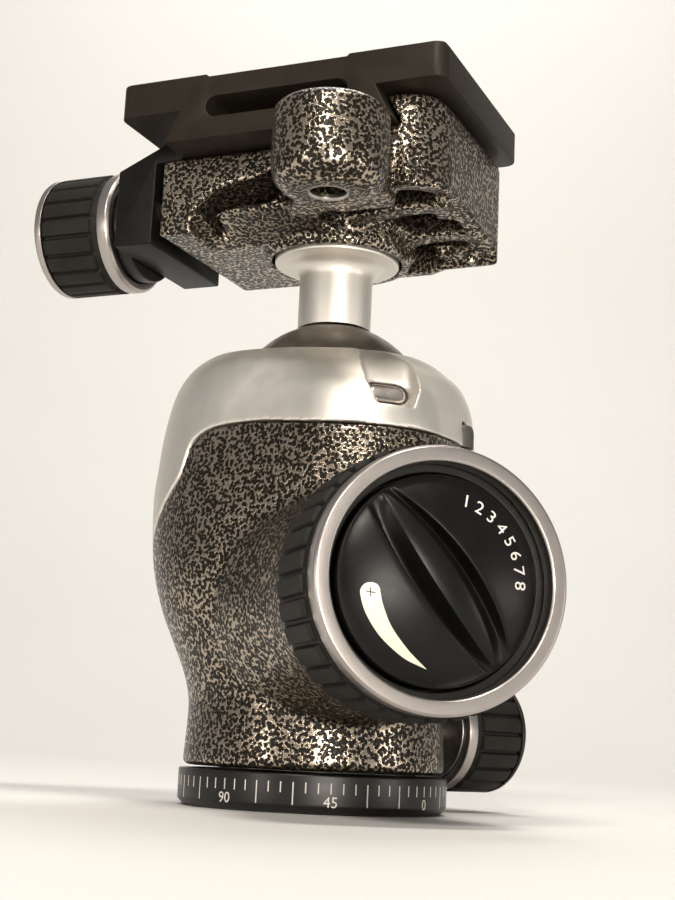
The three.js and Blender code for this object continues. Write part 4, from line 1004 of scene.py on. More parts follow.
ball_radius = span("ball")[1].x
ball_arc = [(ball_radius * math.sin(a), -ball_radius * math.cos(a))
            for a in np.linspace(0, math.pi, 97)[1:-1]]
settle(as_object("ball_turned", turned([(0, -ball_radius)] + ball_arc + [(0, ball_radius)], steps=192),
                 Matrix.Translation((0, 0, ball_centre))), "ball", ball_coat, ["ball"], angle=60)
print("ball radius", round(ball_radius, 2), "pin radius", round(pin_radius, 2))

# %% [markdown]
# The stem stands on the ball and carries the clamp on its flange. A plain cylinder would miss the hollow
# curve under the flange, where the photograph's bright streak widens, and the foot that follows the
# ball. So both curves are written into one turned profile, with a bore for the platform bolt.

# %% Stem
stem_radius = 5.97
flange_radius = 10.2
flange_top = span("stem")[1].z
flange_low = flange_top - 2.5
foot_height = ball_centre + math.sqrt(cavity_radius ** 2 - stem_radius ** 2)
fillet_reach = 2.9
fillet_rise = 2.6
fillet = [(stem_radius + fillet_reach * (1 - math.cos(a)), flange_low - fillet_rise * (1 - math.sin(a)), 0.3)
          for a in np.linspace(0, 1.25, 10)]
foot_curve = [(cavity_radius * math.sin(a), ball_centre + cavity_radius * math.cos(a), 0.01)
              for a in np.linspace(0, math.asin(stem_radius / cavity_radius), 8)[1:-1]]
bolt_bore = 3.2
bore_floor = ball_centre + cavity_radius + 2.4
lathed("stem_blasted", [(0, ball_centre + cavity_radius)] + foot_curve + [(stem_radius, foot_height, 0.15)]
       + fillet + [(flange_radius, flange_low + 0.05, 0.35), (flange_radius, flange_top, 0.2),
                   (bolt_bore, flange_top), (bolt_bore, bore_floor), (0, bore_floor)],
       "stem", blasted, "stem", closed=False, angle=40)
print("stem from", round(foot_height, 2), "to", round(flange_top, 2))

# %% [markdown]
# ## Knobs
#
# All three knobs share one recipe: a dark core, a ribbed rubber sleeve and turned metal rings. The
# sleeve is a polar grid. Its radius drops into a groove between ribs and also near the ends, where the
# ribs stop short of the ring, and the drops are eased over a few tenths as moulded rubber is.

# %% Ribbed sleeves
def eased(t):
    t = min(1.0, max(0.0, t))
    return t * t * (3 - 2 * t)


def reach(node, place):
    """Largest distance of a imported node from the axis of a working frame."""
    points = np.array([v.co for v in frame["nodes"][node].data.vertices]) / MM
    inverse = np.array(place.inverted())
    local = points @ inverse[:3, :3].T + inverse[:3, 3]
    return float(np.hypot(local[:, 0], local[:, 1]).max())


def ribbed_sleeve(node, place, bore, ribs, groove, depth, band_low, band_high, edge=0.26):
    low, high = ends(node, place)
    outer = reach(node, place)
    pitch = 2 * math.pi / ribs
    across = outer * pitch
    land = across - groove
    stations = [0.0, groove * 0.3]
    stations += [groove / 2 + edge * s for s in (0.0, 0.3, 0.65, 1.0)]
    stations += [groove / 2 + land * s for s in (0.3, 0.5, 0.7)]
    stations += [across - groove / 2 - edge * s for s in (1.0, 0.65, 0.3, 0.0)] + [across - groove * 0.3]
    heights = [low, low + 0.08, low + 0.25]
    heights += [low + 0.25 + band_low + edge * s for s in (0.2, 0.6, 1.0, 1.4)]
    heights += list(np.linspace(low + band_low + 1.2, high - band_high - 1.2, 5))
    heights += [high - 0.25 - band_high - edge * s for s in (1.4, 1.0, 0.6, 0.2)]
    heights += [high - 0.25, high - 0.08, high]
    rows = []
    for z in heights:
        shown = (eased((z - low - band_low - 0.2) / (1.3 * edge)) if band_low else 1.0) * \
            (eased((high - band_high - 0.2 - z) / (1.3 * edge)) if band_high else 1.0)
        corner = 0.22 * (1 - math.sqrt(max(0.0, 1 - (1 - min(1.0, (z - low) / 0.25)) ** 2))) \
            + 0.22 * (1 - math.sqrt(max(0.0, 1 - (1 - min(1.0, (high - z) / 0.25)) ** 2)))
        row = []
        for rib in range(ribs):
            for s in stations:
                away = min(s, across - s) - groove / 2
                crown = 0.05 * (1 - ((s - across / 2) / (across / 2)) ** 2)
                lift = eased(away / edge) * shown
                radius = outer - 0.05 - depth * (1 - lift) + crown * lift - corner
                angle = pitch * rib + s / outer
                row.append((radius * math.cos(angle), radius * math.sin(angle), z))
        rows.append(row)
    around = [math.atan2(y, x) for x, y, _ in rows[0]]
    for z in (high, low):
        rows.append([(bore * math.cos(a), bore * math.sin(a), z) for a in around])
    return grid_skin(rows, caps=False, loop=True)


def ribbed(name, body, node, place, bore, ribs, groove, depth, band_low, band_high):
    sleeve = ribbed_sleeve(node, place, bore, ribs, groove, depth, band_low, band_high)
    return settle(as_object(name, sleeve, place), body, rubber, [node], angle=50)


core_radius = reach("lock_knob_core", LOCK)
ribbed("lock_grip_ribbed", "lock_knob", "lock_knob_grip", LOCK, core_radius + fit_gap, 36, 0.42, 0.62,
       1.1, 0.75)
print("lock grip radius", round(reach("lock_knob_grip", LOCK), 2))

# %% [markdown]
# Inside the sleeve a turned core carries the silver front ring, whose bright flat face frames the dial.
# Both are lathe work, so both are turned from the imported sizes. The ring's inner edge gets a chamfer:
# it is the thin bright line between the ring and the black dial.

# %% Lock knob's core and ring
lock_radius = reach("lock_knob_ring", LOCK)
ring_back, ring_front = ends("lock_knob_ring", LOCK)
dial_radius = reach("friction_dial", LOCK)
dial_back = span("friction_dial", LOCK)[0].z
dial_seat = dial_radius + fit_gap
ring_inner = lock_radius - 2.1
outer_chamfer = 0.35
inner_chamfer = 0.22
lathed("lock_ring_turned", [
    (ring_inner, ring_back), (lock_radius, ring_back, 0.15), (lock_radius, ring_front - outer_chamfer, 0.12),
    (lock_radius - outer_chamfer, ring_front, 0.12), (ring_inner + inner_chamfer, ring_front, 0.1),
    (ring_inner, ring_front - inner_chamfer, 0.1),
], "lock_knob", ring_silver, "lock_knob_ring", LOCK, steps=240)
core_back, core_front = ends("lock_knob_core", LOCK)
lathed("lock_core_turned", [
    (lock_bore, core_back), (core_radius, core_back), (core_radius, core_front),
    (dial_seat, core_front, 0.25), (dial_seat, dial_back - fit_gap), (lock_bore, dial_back - fit_gap),
], "lock_knob", satin_black, "lock_knob_core", LOCK)
print("lock knob radius", round(lock_radius, 2), "dial", round(dial_radius, 2))

# %% [markdown]
# The friction dial is a shallow dome with two scoops that leave a blade for the fingers. Rows run along
# the blade. Across each row the stations bunch up at the blade's edges and at the outer edge of each
# scoop, so the crisp lines stay crisp while the dome between them is smooth.

# %% Friction dial
dial_angle = math.radians(-52.8)
dial_rim = ring_front - 1.84
dial_rise = 2.9
rim_round = 0.3
dome_radius = dial_radius - rim_round
blade_length = 13
edge_break = 0.10
scoop_floor = 0.4
deepest_share = 0.7


def dome(r):
    return dial_rim + dial_rise * max(0.0, 1 - (r / dome_radius) ** 2) ** 0.8


def blade_half_width(u):
    return 0.35 + 1.25 * (1 - (u / blade_length) ** 2)


def scoop_edge(u):
    """How far from the blade's middle line a scoop ends, at a spot along the blade."""
    return 4.05 - 0.0118 * (u - 2) ** 2


def dial_height(u, v):
    """Height of the dial over a spot given along and across the blade."""
    if v < 0:
        u, v = -u, -v
    w = blade_half_width(u)
    c = scoop_edge(u)
    if v <= w:
        return dome(math.hypot(u, v)) - edge_break * (v / w) ** 4
    if v >= c:
        return dome(math.hypot(u, v)) - edge_break * math.exp(-(v - c) / 0.08)
    s = (v - w) / (c - w)
    floor = dial_rim + scoop_floor * (1 - (u / dome_radius) ** 2)
    near = dome(math.hypot(u, w)) - edge_break
    far = dome(math.hypot(u, c)) - edge_break
    if s < deepest_share:
        return floor + (near - floor) * (1 - s / deepest_share) ** 1.7
    return floor + (far - floor) * ((s - deepest_share) / (1 - deepest_share)) ** 1.8


def dial_stations(u):
    """Where the points of one row stand, from the far edge of one scoop to that of the other."""
    width = math.sqrt(max(1e-6, dome_radius ** 2 - u ** 2))
    sides = []
    for along in (-u, u):
        w = min(blade_half_width(along), 0.5 * width) if abs(along) < blade_length else 0.3 * width
        c = min(scoop_edge(along), 0.85 * width)
        w = max(0.02 * width, min(w, 0.6 * c))
        bevel = min(0.12, 0.2 * w, 0.2 * (c - w), 0.2 * (width - c))
        stations = list(np.linspace(0, w - bevel, 4)) + [w - 0.4 * bevel, w, w + bevel]
        stations += list(w + (c - w) * np.linspace(0.12, 0.9, 12)) + [c - bevel, c, c + 0.5 * bevel]
        stations += list(np.linspace(c + 1.5 * bevel, width, 12))
        sides.append(stations)
    return [-s for s in reversed(sides[0])] + sides[1][1:]


def dial_mesh():
    turn = Matrix.Rotation(dial_angle, 4, "Z")
    angles = np.linspace(-math.pi / 2 + 0.03, math.pi / 2 - 0.03, 97)
    grid = []
    for a in angles:
        u = dome_radius * math.sin(a)
        grid.append([(u, v, dial_height(u, v)) for v in dial_stations(u)])
    bm = bmesh.new()
    verts = [[bm.verts.new(turn @ Vector(p)) for p in row] for row in grid]
    for low, high in zip(verts, verts[1:]):
        for k in range(len(low) - 1):
            bm.faces.new((low[k], high[k], high[k + 1], low[k + 1]))
    loop = verts[0] + [row[-1] for row in verts[1:-1]] + verts[-1][::-1] + [row[0] for row in verts[-2:0:-1]]
    for v in loop:
        flat = Vector((v.co.x, v.co.y)).normalized() * dome_radius
        v.co = (flat.x, flat.y, dial_rim)
    above = loop
    for a in (0.35, 0.8, 1.25, math.pi / 2, None):
        radius = dome_radius + (rim_round * math.sin(a) if a else rim_round)
        z = dial_rim - rim_round * (1 - math.cos(a)) if a else dial_back
        below = []
        for v in loop:
            flat = Vector((v.co.x, v.co.y)).normalized() * radius
            below.append(bm.verts.new((flat.x, flat.y, z)))
        for k in range(len(loop)):
            n = (k + 1) % len(loop)
            bm.faces.new((above[k], above[n], below[n], below[k]))
        above = below
    bm.faces.new(above)
    bmesh.ops.recalc_face_normals(bm, faces=bm.faces)
    return bm


dial_piece = settle(as_object("friction_dial_scooped", dial_mesh(), LOCK), "dial", dial_black,
                    ["friction_dial"], angle=28)
print("dial faces", len(dial_piece.data.polygons))

# %% [markdown]
# Paint on the dial follows its dome. The scale is a row of plain numbers round the right half and a
# cream wedge with a plus sign on the left, which shows where the friction grows.

# %% Marks on the dial
def on_dial(x, y, lift):
    return x, y, dome(math.hypot(x, y)) + lift


def draped(rows, lift, depth=0.12):
    """A closed sheet over a grid of dial points."""
    bm = bmesh.new()
    top = [[bm.verts.new(on_dial(x, y, lift)) for x, y in row] for row in rows]
    bottom = [[bm.verts.new(on_dial(x, y, lift - depth)) for x, y in row] for row in rows]
    wide = len(rows[0])
    for a in range(len(rows) - 1):
        for b in range(wide - 1):
            bm.faces.new((top[a][b], top[a][b + 1], top[a + 1][b + 1], top[a + 1][b]))
            bm.faces.new((bottom[a][b], bottom[a + 1][b], bottom[a + 1][b + 1], bottom[a][b + 1]))
        for b in (0, wide - 1):
            bm.faces.new((top[a][b], top[a + 1][b], bottom[a + 1][b], bottom[a][b]))
    for a in (0, -1):
        for b in range(wide - 1):
            bm.faces.new((top[a][b], top[a][b + 1], bottom[a][b + 1], bottom[a][b]))
    bmesh.ops.recalc_face_normals(bm, faces=bm.faces)
    return bm


wedge_outer = [(-9.55, -1.12), (-10.25, -1.25), (-10.78, -1.85), (-10.82, -2.75), (-9.97, -5.04),
               (-7.97, -7.74), (-4.84, -10.13), (-1.74, -11.36)]
wedge_inner = [(-9.45, -1.12), (-8.90, -1.35), (-8.55, -1.85), (-8.43, -2.45), (-7.95, -4.05),
               (-6.70, -6.52), (-4.37, -9.16), (-1.70, -11.33)]
outer_line = spline_rows(np.array([(x, y, 0) for x, y in wedge_outer]), between=6)
inner_line = spline_rows(np.array([(x, y, 0) for x, y in wedge_inner]), between=6)
wedge_rows = [[tuple(a[:2] + (b[:2] - a[:2]) * t) for t in (0, 0.25, 0.5, 0.75, 1)]
              for a, b in zip(outer_line, inner_line)]
settle(as_object("dial_wedge", draped(wedge_rows, 0.03), LOCK), "dial", cream_paint)


def stroke_rows(x0, y0, x1, y1, width, steps=4):
    side = Vector((y0 - y1, x1 - x0)).normalized() * width / 2
    rows = []
    for i in range(steps + 1):
        x, y = x0 + (x1 - x0) * i / steps, y0 + (y1 - y0) * i / steps
        rows.append([(x - side.x, y - side.y), (x + side.x, y + side.y)])
    return rows


for number, (x0, y0, x1, y1) in enumerate(((-10.2, -2.25, -9.05, -2.4), (-9.7, -1.75, -9.6, -2.9))):
    settle(as_object("dial_plus_%d" % number, draped(stroke_rows(x0, y0, x1, y1, 0.13), 0.05), LOCK),
           "dial", satin_black)
print("wedge rows", len(wedge_rows))

# %% [markdown]
# The numbers come from the same text helper as the ring's. Here the bending function lays them round an
# arc and drops each point onto the dome, so that the paint never floats over the black.

# %% Numbers on the dial
number_height = 1.75
number_radius = 9.85
first_number_angle = 74
number_turn = 10.6
bend_radius = 10.7


def round_the_dial(index, x, y, z):
    radius = number_radius + y
    angle = math.radians(first_number_angle - number_turn * index) - x / bend_radius
    return on_dial(radius * math.cos(angle), radius * math.sin(angle), 0.03 if z > 0 else -0.12)


words = [str(number) for number in range(1, 9)]
settle(as_object("dial_numbers", lettered(words, number_height, round_the_dial), LOCK), "dial", white_paint)
print("dial numbers", words)

# %% [markdown]
# The small pan lock sits low beside the base. Its sleeve has twenty ribs, a metal ring on the body side
# and a black end cap with a shallow dish. It follows the main knob's recipe with other sizes, which is
# why the sleeve is a function and not a model of its own.

# %% Pan lock knob
pan_radius = reach("pan_knob_ring", PAN)
pan_core = reach("pan_knob_core", PAN)
pan_neck = 2.5
ring_low, ring_high = ends("pan_knob_ring", PAN)
lathed("pan_ring_turned", [
    (pan_core + fit_gap, ring_low), (pan_radius, ring_low, 0.3), (pan_radius, ring_high, 0.2),
    (pan_core + fit_gap, ring_high),
], "pan_knob", ring_silver, "pan_knob_ring", PAN)
ribbed("pan_grip_ribbed", "pan_knob", "pan_knob_grip", PAN, pan_core + fit_gap, 20, 0.34, 0.55, 0.7, 0.0)
cap_low, cap_high = ends("pan_knob_cap", PAN)
lathed("pan_cap_turned", [
    (0, cap_low), (pan_radius, cap_low), (pan_radius, cap_high, 0.35), (pan_radius - 1.6, cap_high, 0.2),
    (pan_radius - 1.9, cap_high - 0.3, 0.2), (0, cap_high - 0.3),
], "pan_knob", satin_black, "pan_knob_cap", PAN, closed=False)
core_low, core_high = ends("pan_knob_core", PAN)
lathed("pan_core_turned", [
    (0, core_low), (pan_neck, core_low, 0.3), (pan_neck, ring_low, 0.5), (pan_core, ring_low, 0.3),
    (pan_core, core_high), (0, core_high),
], "pan_knob", steel, "pan_knob_core", PAN, steps=96, closed=False)
print("pan knob radius", round(pan_radius, 2))

# %% [markdown]
# The clamp's knob closes the moving jaw. It is the pan knob's twin with a metal ring at both ends, and
# the outer ring is a cap whose face is dished a little. The black core shows only at the hub.

# %% Clamp knob
knob_radius = reach("clamp_knob_ring_outer", KNOB)
knob_core = reach("clamp_knob_grip", KNOB) - 1.5
hub_radius = 8.6
screw_bore = 2.7
inner_low, inner_high = ends("clamp_knob_ring_inner", KNOB)
lathed("clamp_inner_ring_turned", [
    (knob_core, inner_low), (knob_radius - 0.5, inner_low, 0.1), (knob_radius, inner_low + 0.5, 0.15),
    (knob_radius, inner_high, 0.2), (knob_core, inner_high),
], "clamp_knob", ring_silver, "clamp_knob_ring_inner", KNOB)
outer_low, outer_high = ends("clamp_knob_ring_outer", KNOB)
lathed("clamp_outer_ring_turned", [
    (0, outer_low), (knob_radius, outer_low, 0.1), (knob_radius, outer_high, 0.4),
    (knob_radius - 1.5, outer_high, 0.15), (knob_radius - 1.8, outer_high - 0.3, 0.15), (0, outer_high - 0.3),
], "clamp_knob", ring_silver, "clamp_knob_ring_outer", KNOB, closed=False)
ribbed("clamp_grip_ribbed", "clamp_knob", "clamp_knob_grip", KNOB, knob_core, 20, 0.36, 0.55, 0.75, 0.0)
core_low, core_high = ends("clamp_knob_core", KNOB)
lathed("clamp_core_turned", [
    (screw_bore, core_low), (hub_radius, core_low, 0.25), (hub_radius, inner_low - fit_gap, 0.1),
    (knob_core - fit_gap, inner_low - fit_gap), (knob_core - fit_gap, core_high), (screw_bore, core_high),
], "clamp_knob", satin_black, "clamp_knob_core", KNOB, steps=120)
print("clamp knob radius", round(knob_radius, 2))

# %% [markdown]
# The clamp screw shows in the gap between jaw and clamp when the jaw is open. Its thread is made as the
# bush's is, from rows of points whose radius follows a climbing saw-tooth. A screw modifier would do it
# too, but leaves a ragged start, where this one fades in over the first turn.

# %% Clamp screw
clamp_pitch = 0.8
clamp_crest = 2.4
clamp_root = 2.0


def threaded_rod(crest, root, pitch, low, high, steps=40, per_turn=8):
    """A screw whose radius follows a saw-tooth that climbs one pitch each turn."""
    count = int((high - low) / pitch * per_turn)
    around = [2 * math.pi * k / steps for k in range(steps)]
    rows = [[(0.6 * root * math.cos(a), 0.6 * root * math.sin(a), low) for a in around]]
    for i in range(count + 1):
        z = low + (high - low) * i / count
        row = []
        for k in range(steps):
            phase = (z / pitch - k / steps) % 1.0
            tooth = min(1.0, max(0.0, 1.6 * abs(phase * 2 - 1) - 0.3))
            fade = min(1.0, (z - low) / pitch, (high - z) / pitch)
            radius = root + (crest - root) * (1 - tooth) * max(0.0, fade)
            row.append((radius * math.cos(around[k]), radius * math.sin(around[k]), z))
        rows.append(row)
    return grid_skin(rows)


screw_low, screw_high = ends("clamp_screw", KNOB)
clamp_thread = threaded_rod(clamp_crest, clamp_root, clamp_pitch, screw_low, screw_high)
settle(as_object("clamp_screw_cut", clamp_thread, KNOB), "clamp_knob", steel, ["clamp_screw"])
print("clamp screw length", round(screw_high - screw_low, 2))

# %% [markdown]
# ## Clamp, jaw and plate
#
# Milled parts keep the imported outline. Their triangles are joined back into flat faces, and then each
# sharp edge gets a small round, because a machined edge is always broken a little. The clamp's casting
# is softer still, so it goes through the same rebuild and relax steps as the housing.

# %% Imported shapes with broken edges
def packed_copy(node):
    """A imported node's mesh in millimetres, with doubled points merged and flat facets joined."""
    bm = bmesh.new()
    bm.from_mesh(frame["nodes"][node].data)
    bm.transform(Matrix.Scale(1 / MM, 4))
    bmesh.ops.remove_doubles(bm, verts=bm.verts, dist=1e-3)
    bmesh.ops.dissolve_limit(bm, angle_limit=math.radians(1.5), verts=bm.verts, edges=bm.edges)
    return bm


def broken_edges(name, node, body, material, width, segments=3, steepest=28):
    bm = packed_copy(node)
    edges = [e for e in bm.edges if len(e.link_faces) == 2 and e.calc_face_angle() > math.radians(steepest)]
    bmesh.ops.bevel(bm, geom=edges, offset=width, offset_type="OFFSET", segments=segments, profile=0.5,
                    affect="EDGES", clamp_overlap=True)
    return settle(as_object(name, bm), body, material, [node], angle=25)


broken_edges("camera_plate_milled", "camera_plate", "plate", anodised, 0.28)
broken_edges("clamp_jaw_milled", "clamp_jaw", "jaw", jaw_black, 0.32)
for side in ("left", "right"):
    broken_edges("plate_pad_%s_cork" % side, "plate_pad_%s" % side, "plate", rubber, 0.2)
print("plate, jaw and pads milled")

# %% [markdown]
# Under the fixed jaw the casting is a shallow dish: a broad outer wall, a hub round the stem, and two
# broad ribs that run straight across from hub to wall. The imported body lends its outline, bores and
# drum. Each feature of the casting is one closed tool: the dish is opened first, then the ribs and the
# outer wall are laid back in, and the rebuild at the end rounds the lot together like poured metal.

# %% Tools for the clamp casting
clamp_low, clamp_high = span("clamp_body", CLAMP)
clamp_foot = flange_low
clamp_wall = 2.5
front_face = -21.8
hub_outer = flange_radius + 2.8
dish_left = 3.0
dish_back = 6.8
dish_round = 5.0
dish_depth = 9.0
dish_draft = ((-4, -0.3), (7.8, 0.5), (8.7, 0.9), (dish_depth, 1.8))
dish_top = clamp_foot + dish_depth
tool_low = clamp_foot - 6
tool_high = dish_top + 2
rib_foot = clamp_foot + 4.0
rib_places = (-11.4, 1.8)
rib_width = 3.7
wall_arch = [(-28, 4.0), (-22.7, 4.1), (-15.9, 4.9), (-9.8, 5.2), (-4.7, 4.8), (0.6, 4.1), (5.4, 3.4),
             (9.1, 2.6), (16, 2.2)]


def dish_tool():
    """The room between hub and outer wall, with sides that lean so that a casting leaves its mould."""
    wall_x = clamp_high.x - clamp_wall
    rows = [rounded_row(dish_left, wall_x - lean, front_face + clamp_wall + lean, dish_back - lean,
                        dish_round, clamp_foot + z) for z, lean in dish_draft]
    tool = as_object("dish", grid_skin(rows), CLAMP)
    hub = [(0, tool_low), (hub_outer, tool_low), (hub_outer, clamp_foot + 2), (hub_outer + 0.7, tool_high),
           (0, tool_high)]
    combine(tool, as_object("hub_room", turned(hub, steps=96), CLAMP), "DIFFERENCE")
    neck_rows = [rounded_row(7.5, 17.0, -30, -16.5, 2.0, z) for z in (tool_low, tool_high)]
    return combine(tool, as_object("neck_room", grid_skin(neck_rows), CLAMP), "DIFFERENCE")


def under_arch(x0, x1, drop=0.0):
    """Everything below the arched lower edge of the outer wall, between two places across the clamp."""
    smooth = spline_rows(np.array([(y, clamp_foot + z - drop, 0) for y, z in wall_arch]), between=4)
    outline = [(y, z) for y, z, _ in smooth] + [(16, clamp_foot - 20), (-28, clamp_foot - 20)]
    return as_object("under_arch", grid_skin([[(x, y, z) for y, z in outline] for x in (x0, x1)]), CLAMP)


wall_left = 14.0
wall_back = 11.9
wall_round = 7.0
wall_low = 1.0
wall_high = 10.2


def outer_wall():
    """A band down from the fixed jaw, round the right end of the dish."""
    rows = [rounded_row(wall_left, clamp_high.x - proud, front_face, wall_back, wall_round, clamp_foot + z)
            for z in (wall_low, wall_high)]
    band = as_object("outer_wall", grid_skin(rows), CLAMP)
    combine(band, dish_tool(), "DIFFERENCE")
    inner = [rounded_row(0, 19.0, -18, dish_back, 2.0, z) for z in (tool_low, tool_high + 2)]
    combine(band, as_object("inner_room", grid_skin(inner), CLAMP), "DIFFERENCE")
    return combine(band, under_arch(0, 40), "DIFFERENCE")


def rib(y):
    """A broad rib across the dish, a little deeper where it meets hub and wall."""
    rows = []
    half_width = rib_width / 2
    high = dish_top + 0.6
    for x, drop in ((7.0, 0.8), (11.0, 0.5), (15.0, 0.1), (18.5, 0.0), (21.0, 0.2),
                    (clamp_high.x - 1.2, 0.5)):
        low = rib_foot - drop
        rows.append([(x, y - half_width, low), (x, y + half_width, low), (x, y + half_width, high),
                     (x, y - half_width, high)])
    return as_object("rib", grid_skin(rows), CLAMP)


def back_slope():
    """The underside rises toward the back, right of the hub."""
    outline = [(3.5, -0.1), (13, 2.7), (13, -6), (3.5, -6)]
    rows = [[(x, y, clamp_foot + z - drop) for y, z in outline]
            for x, drop in ((8.5, 2.8), (12.0, 1.1), (15.0, 0.2), (40, 0.0))]
    return as_object("back_slope", grid_skin(rows), CLAMP)


def front_pocket():
    """The hollow under the plate's seat, left of the drum."""
    outline = [(-16.2, 2.6), (-15.2, 5.8), (-13.8, 7.6), (-12.0, 8.3), (-8.3, 9.0), (0.5, 9.4), (0.5, 5.4),
               (-8.1, 5.2), (-11.4, 4.6), (-13.6, 3.3), (-14.8, 1.4)]
    smooth = spline_rows(np.array([(x, z, 0) for x, z in outline + outline[:1]]), between=3)[:-1]
    rows = [[(x * shrink - 8 * (1 - shrink), y, clamp_foot + 6 + (z - 6) * shrink) for x, z, _ in smooth]
            for y, shrink in ((-26, 1.12), (-19, 1.04), (-12.5, 0.92), (-11.3, 0.7))]
    return as_object("front_pocket", grid_skin(rows), CLAMP)


corner_round = 3.5


def round_end():
    """All of the clamp but its back right corner, which is rounded in plan."""
    rows = [rounded_row(-60, clamp_high.x + 0.01, -60, clamp_high.y + 0.01, corner_round, z)
            for z in (tool_low - 20, tool_high + 30)]
    return as_object("round_end", grid_skin(rows), CLAMP)


print("clamp foot at", round(clamp_foot, 2), "right end at", round(clamp_high.x, 2))

# %% [markdown]
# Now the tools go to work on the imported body. The order matters: cuts come first, so that the wall and
# ribs that are joined afterward keep their full depth, and the round comes last, since a rebuild would
# blur edges that a later cut needs sharp.

# %% Clamp casting

def clamp_casting():
    body = as_object("clamp_casting", packed_copy("clamp_body"))
    combine(body, round_end(), "INTERSECT")
    for tool in (dish_tool(), front_pocket(), back_slope()):
        combine(body, tool, "DIFFERENCE")
    combine(body, outer_wall(), "UNION")
    for y in rib_places:
        combine(body, rib(y), "UNION")
    cast(body, 0.34, 8)
    return settle(body, "clamp", hammered, ["clamp_body"], angle=60)


clamp_piece = clamp_casting()
print("clamp faces", len(clamp_piece.data.polygons))

# %% [markdown]
# The round level stands in the casting's drum: a metal bezel, and green fluid under a shallow dome. The
# drum is drilled through from below, and the drill leaves a bright chamfer round the hole, which is the
# small light ring in the photograph. All three are lathe work on the drum's own axis.

# %% Level and its drum
centre, half = measure("level_bezel", CLAMP)
level_spot = CLAMP @ Matrix.Translation((centre.x, centre.y, 0))
level_low = centre.z - half.z
level_top = centre.z + half.z
bezel_radius = half.x
vial_radius = measure("level_vial", CLAMP)[1].x
vial_seat = vial_radius + fit_gap
drum_low = clamp_low.z
hole_radius = 2.6
chamfer_radius = 3.02
lathed("level_bezel_turned", [
    (vial_seat, level_low), (bezel_radius, level_low), (bezel_radius, level_top, 0.25),
    (vial_radius + 0.5, level_top, 0.2), (vial_seat, level_top - 0.3, 0.1),
], "clamp", steel, "level_bezel", level_spot, steps=120)
lathed("level_vial_domed", [
    (0, level_low), (vial_radius, level_low), (vial_radius, level_top - 0.7, 0.3),
    (vial_radius * 0.6, level_top - 0.25, 1.2), (0, level_top - 0.15),
], "clamp", fluid, "level_vial", level_spot, rounds=8, steps=96, closed=False)
lathed("drum_hole_chamfer", [
    (hole_radius - 0.05, drum_low + 0.9), (hole_radius, drum_low + 0.3), (2.82, drum_low + 0.02),
    (chamfer_radius, drum_low + 0.02), (chamfer_radius, drum_low + 0.9),
], "clamp", steel, None, level_spot, edge=0.06, steps=72)
print("level radius", round(bezel_radius, 2), "drum from", round(drum_low, 2))

# %% [markdown]
# The camera screw stands up through the plate: a slotted head below and a threaded shank above. Head and
# shank are separate solids at first. The slot is cut into the head by a thin block, as a saw would, and
# the shank is joined on last, so that it moves with the head as one piece.

# %% Camera screw
centre, half = measure("camera_screw", CLAMP)
screw_spot = CLAMP @ Matrix.Translation((centre.x, centre.y, 0))
screw_low = centre.z - half.z
screw_top = centre.z + half.z
head_radius = 6.4
head_top = screw_low + 2.3
neck = 2.6
slot_depth = 1.1
slot_half = 0.7
head = as_object("camera_screw_cut", turned(softened([
    (0, screw_low), (head_radius, screw_low, 0.3), (head_radius, head_top, 0.2), (neck, head_top),
    (neck, head_top + 0.6), (0, head_top + 0.6)]), steps=96), screw_spot)
slot = grid_skin([rounded_row(-9, 9, -slot_half, slot_half, 0.05, z)
                  for z in (screw_low - 1, screw_low + slot_depth)])
shank = threaded_rod(3.1, neck, 1.27, head_top + 0.3, screw_top)
combine(head, as_object("slot", slot, screw_spot), "DIFFERENCE")
combine(head, as_object("shank", shank, screw_spot), "UNION")
settle(head, "camera_screw", steel, ["camera_screw"])
print("camera screw top", round(screw_top, 2))

# %% [markdown]
# ## Camera, floor, lights
#
# The camera stands low and looks up at the head, as in the photograph. Its place and angles come from
# the ellipses of ring and dial and from the straight edges of the plate. Blender wants a lens in
# millimetres, so the focal length in the photograph's pixels is scaled to the sensor's height.

# %% Camera
photo_focal_px = 1517.6
photo_height_px = 900
camera_place = Vector((-71.16, -228.84, 9.23))
camera_azimuth = math.radians(-17.63)
camera_elevation = math.radians(11.13)
camera_roll = math.radians(2.65)

camera_data = bpy.data.cameras.new("photo_camera")
camera_data.sensor_fit = "VERTICAL"
camera_data.sensor_height = 36.0
camera_data.lens = photo_focal_px / photo_height_px * camera_data.sensor_height
camera_data.clip_start = 0.01
camera_object = bpy.data.objects.new("photo_camera", camera_data)
bpy.context.scene.collection.objects.link(camera_object)
right = Vector((math.cos(camera_azimuth), math.sin(camera_azimuth), 0))
forward = Vector((-math.sin(camera_azimuth) * math.cos(camera_elevation),
                  math.cos(camera_azimuth) * math.cos(camera_elevation), math.sin(camera_elevation)))
upward = right.cross(forward)
rolled_right = right * math.cos(camera_roll) + upward * math.sin(camera_roll)
rolled_up = upward * math.cos(camera_roll) - right * math.sin(camera_roll)
turn = Matrix((rolled_right, rolled_up, -forward)).transposed()
camera_object.matrix_world = Matrix.Translation(camera_place * MM) @ turn.to_4x4()
bpy.context.scene.camera = camera_object
print("lens", round(camera_data.lens, 2), "mm")

# %% [markdown]
# The floor is a sheet of pale card that curves up into a backdrop, as in a photo studio, so no horizon
# line crosses the picture. It is a plain strip of points and not a plane with a bend modifier, because
# the curve is one line of formula. The card is stage and not part of the model.

# %% Floor and backdrop
card_front = -420
card_flat = 500
card_curve = 400
card_top = 1600
card_half_width = 1500
card_drop = 0.05


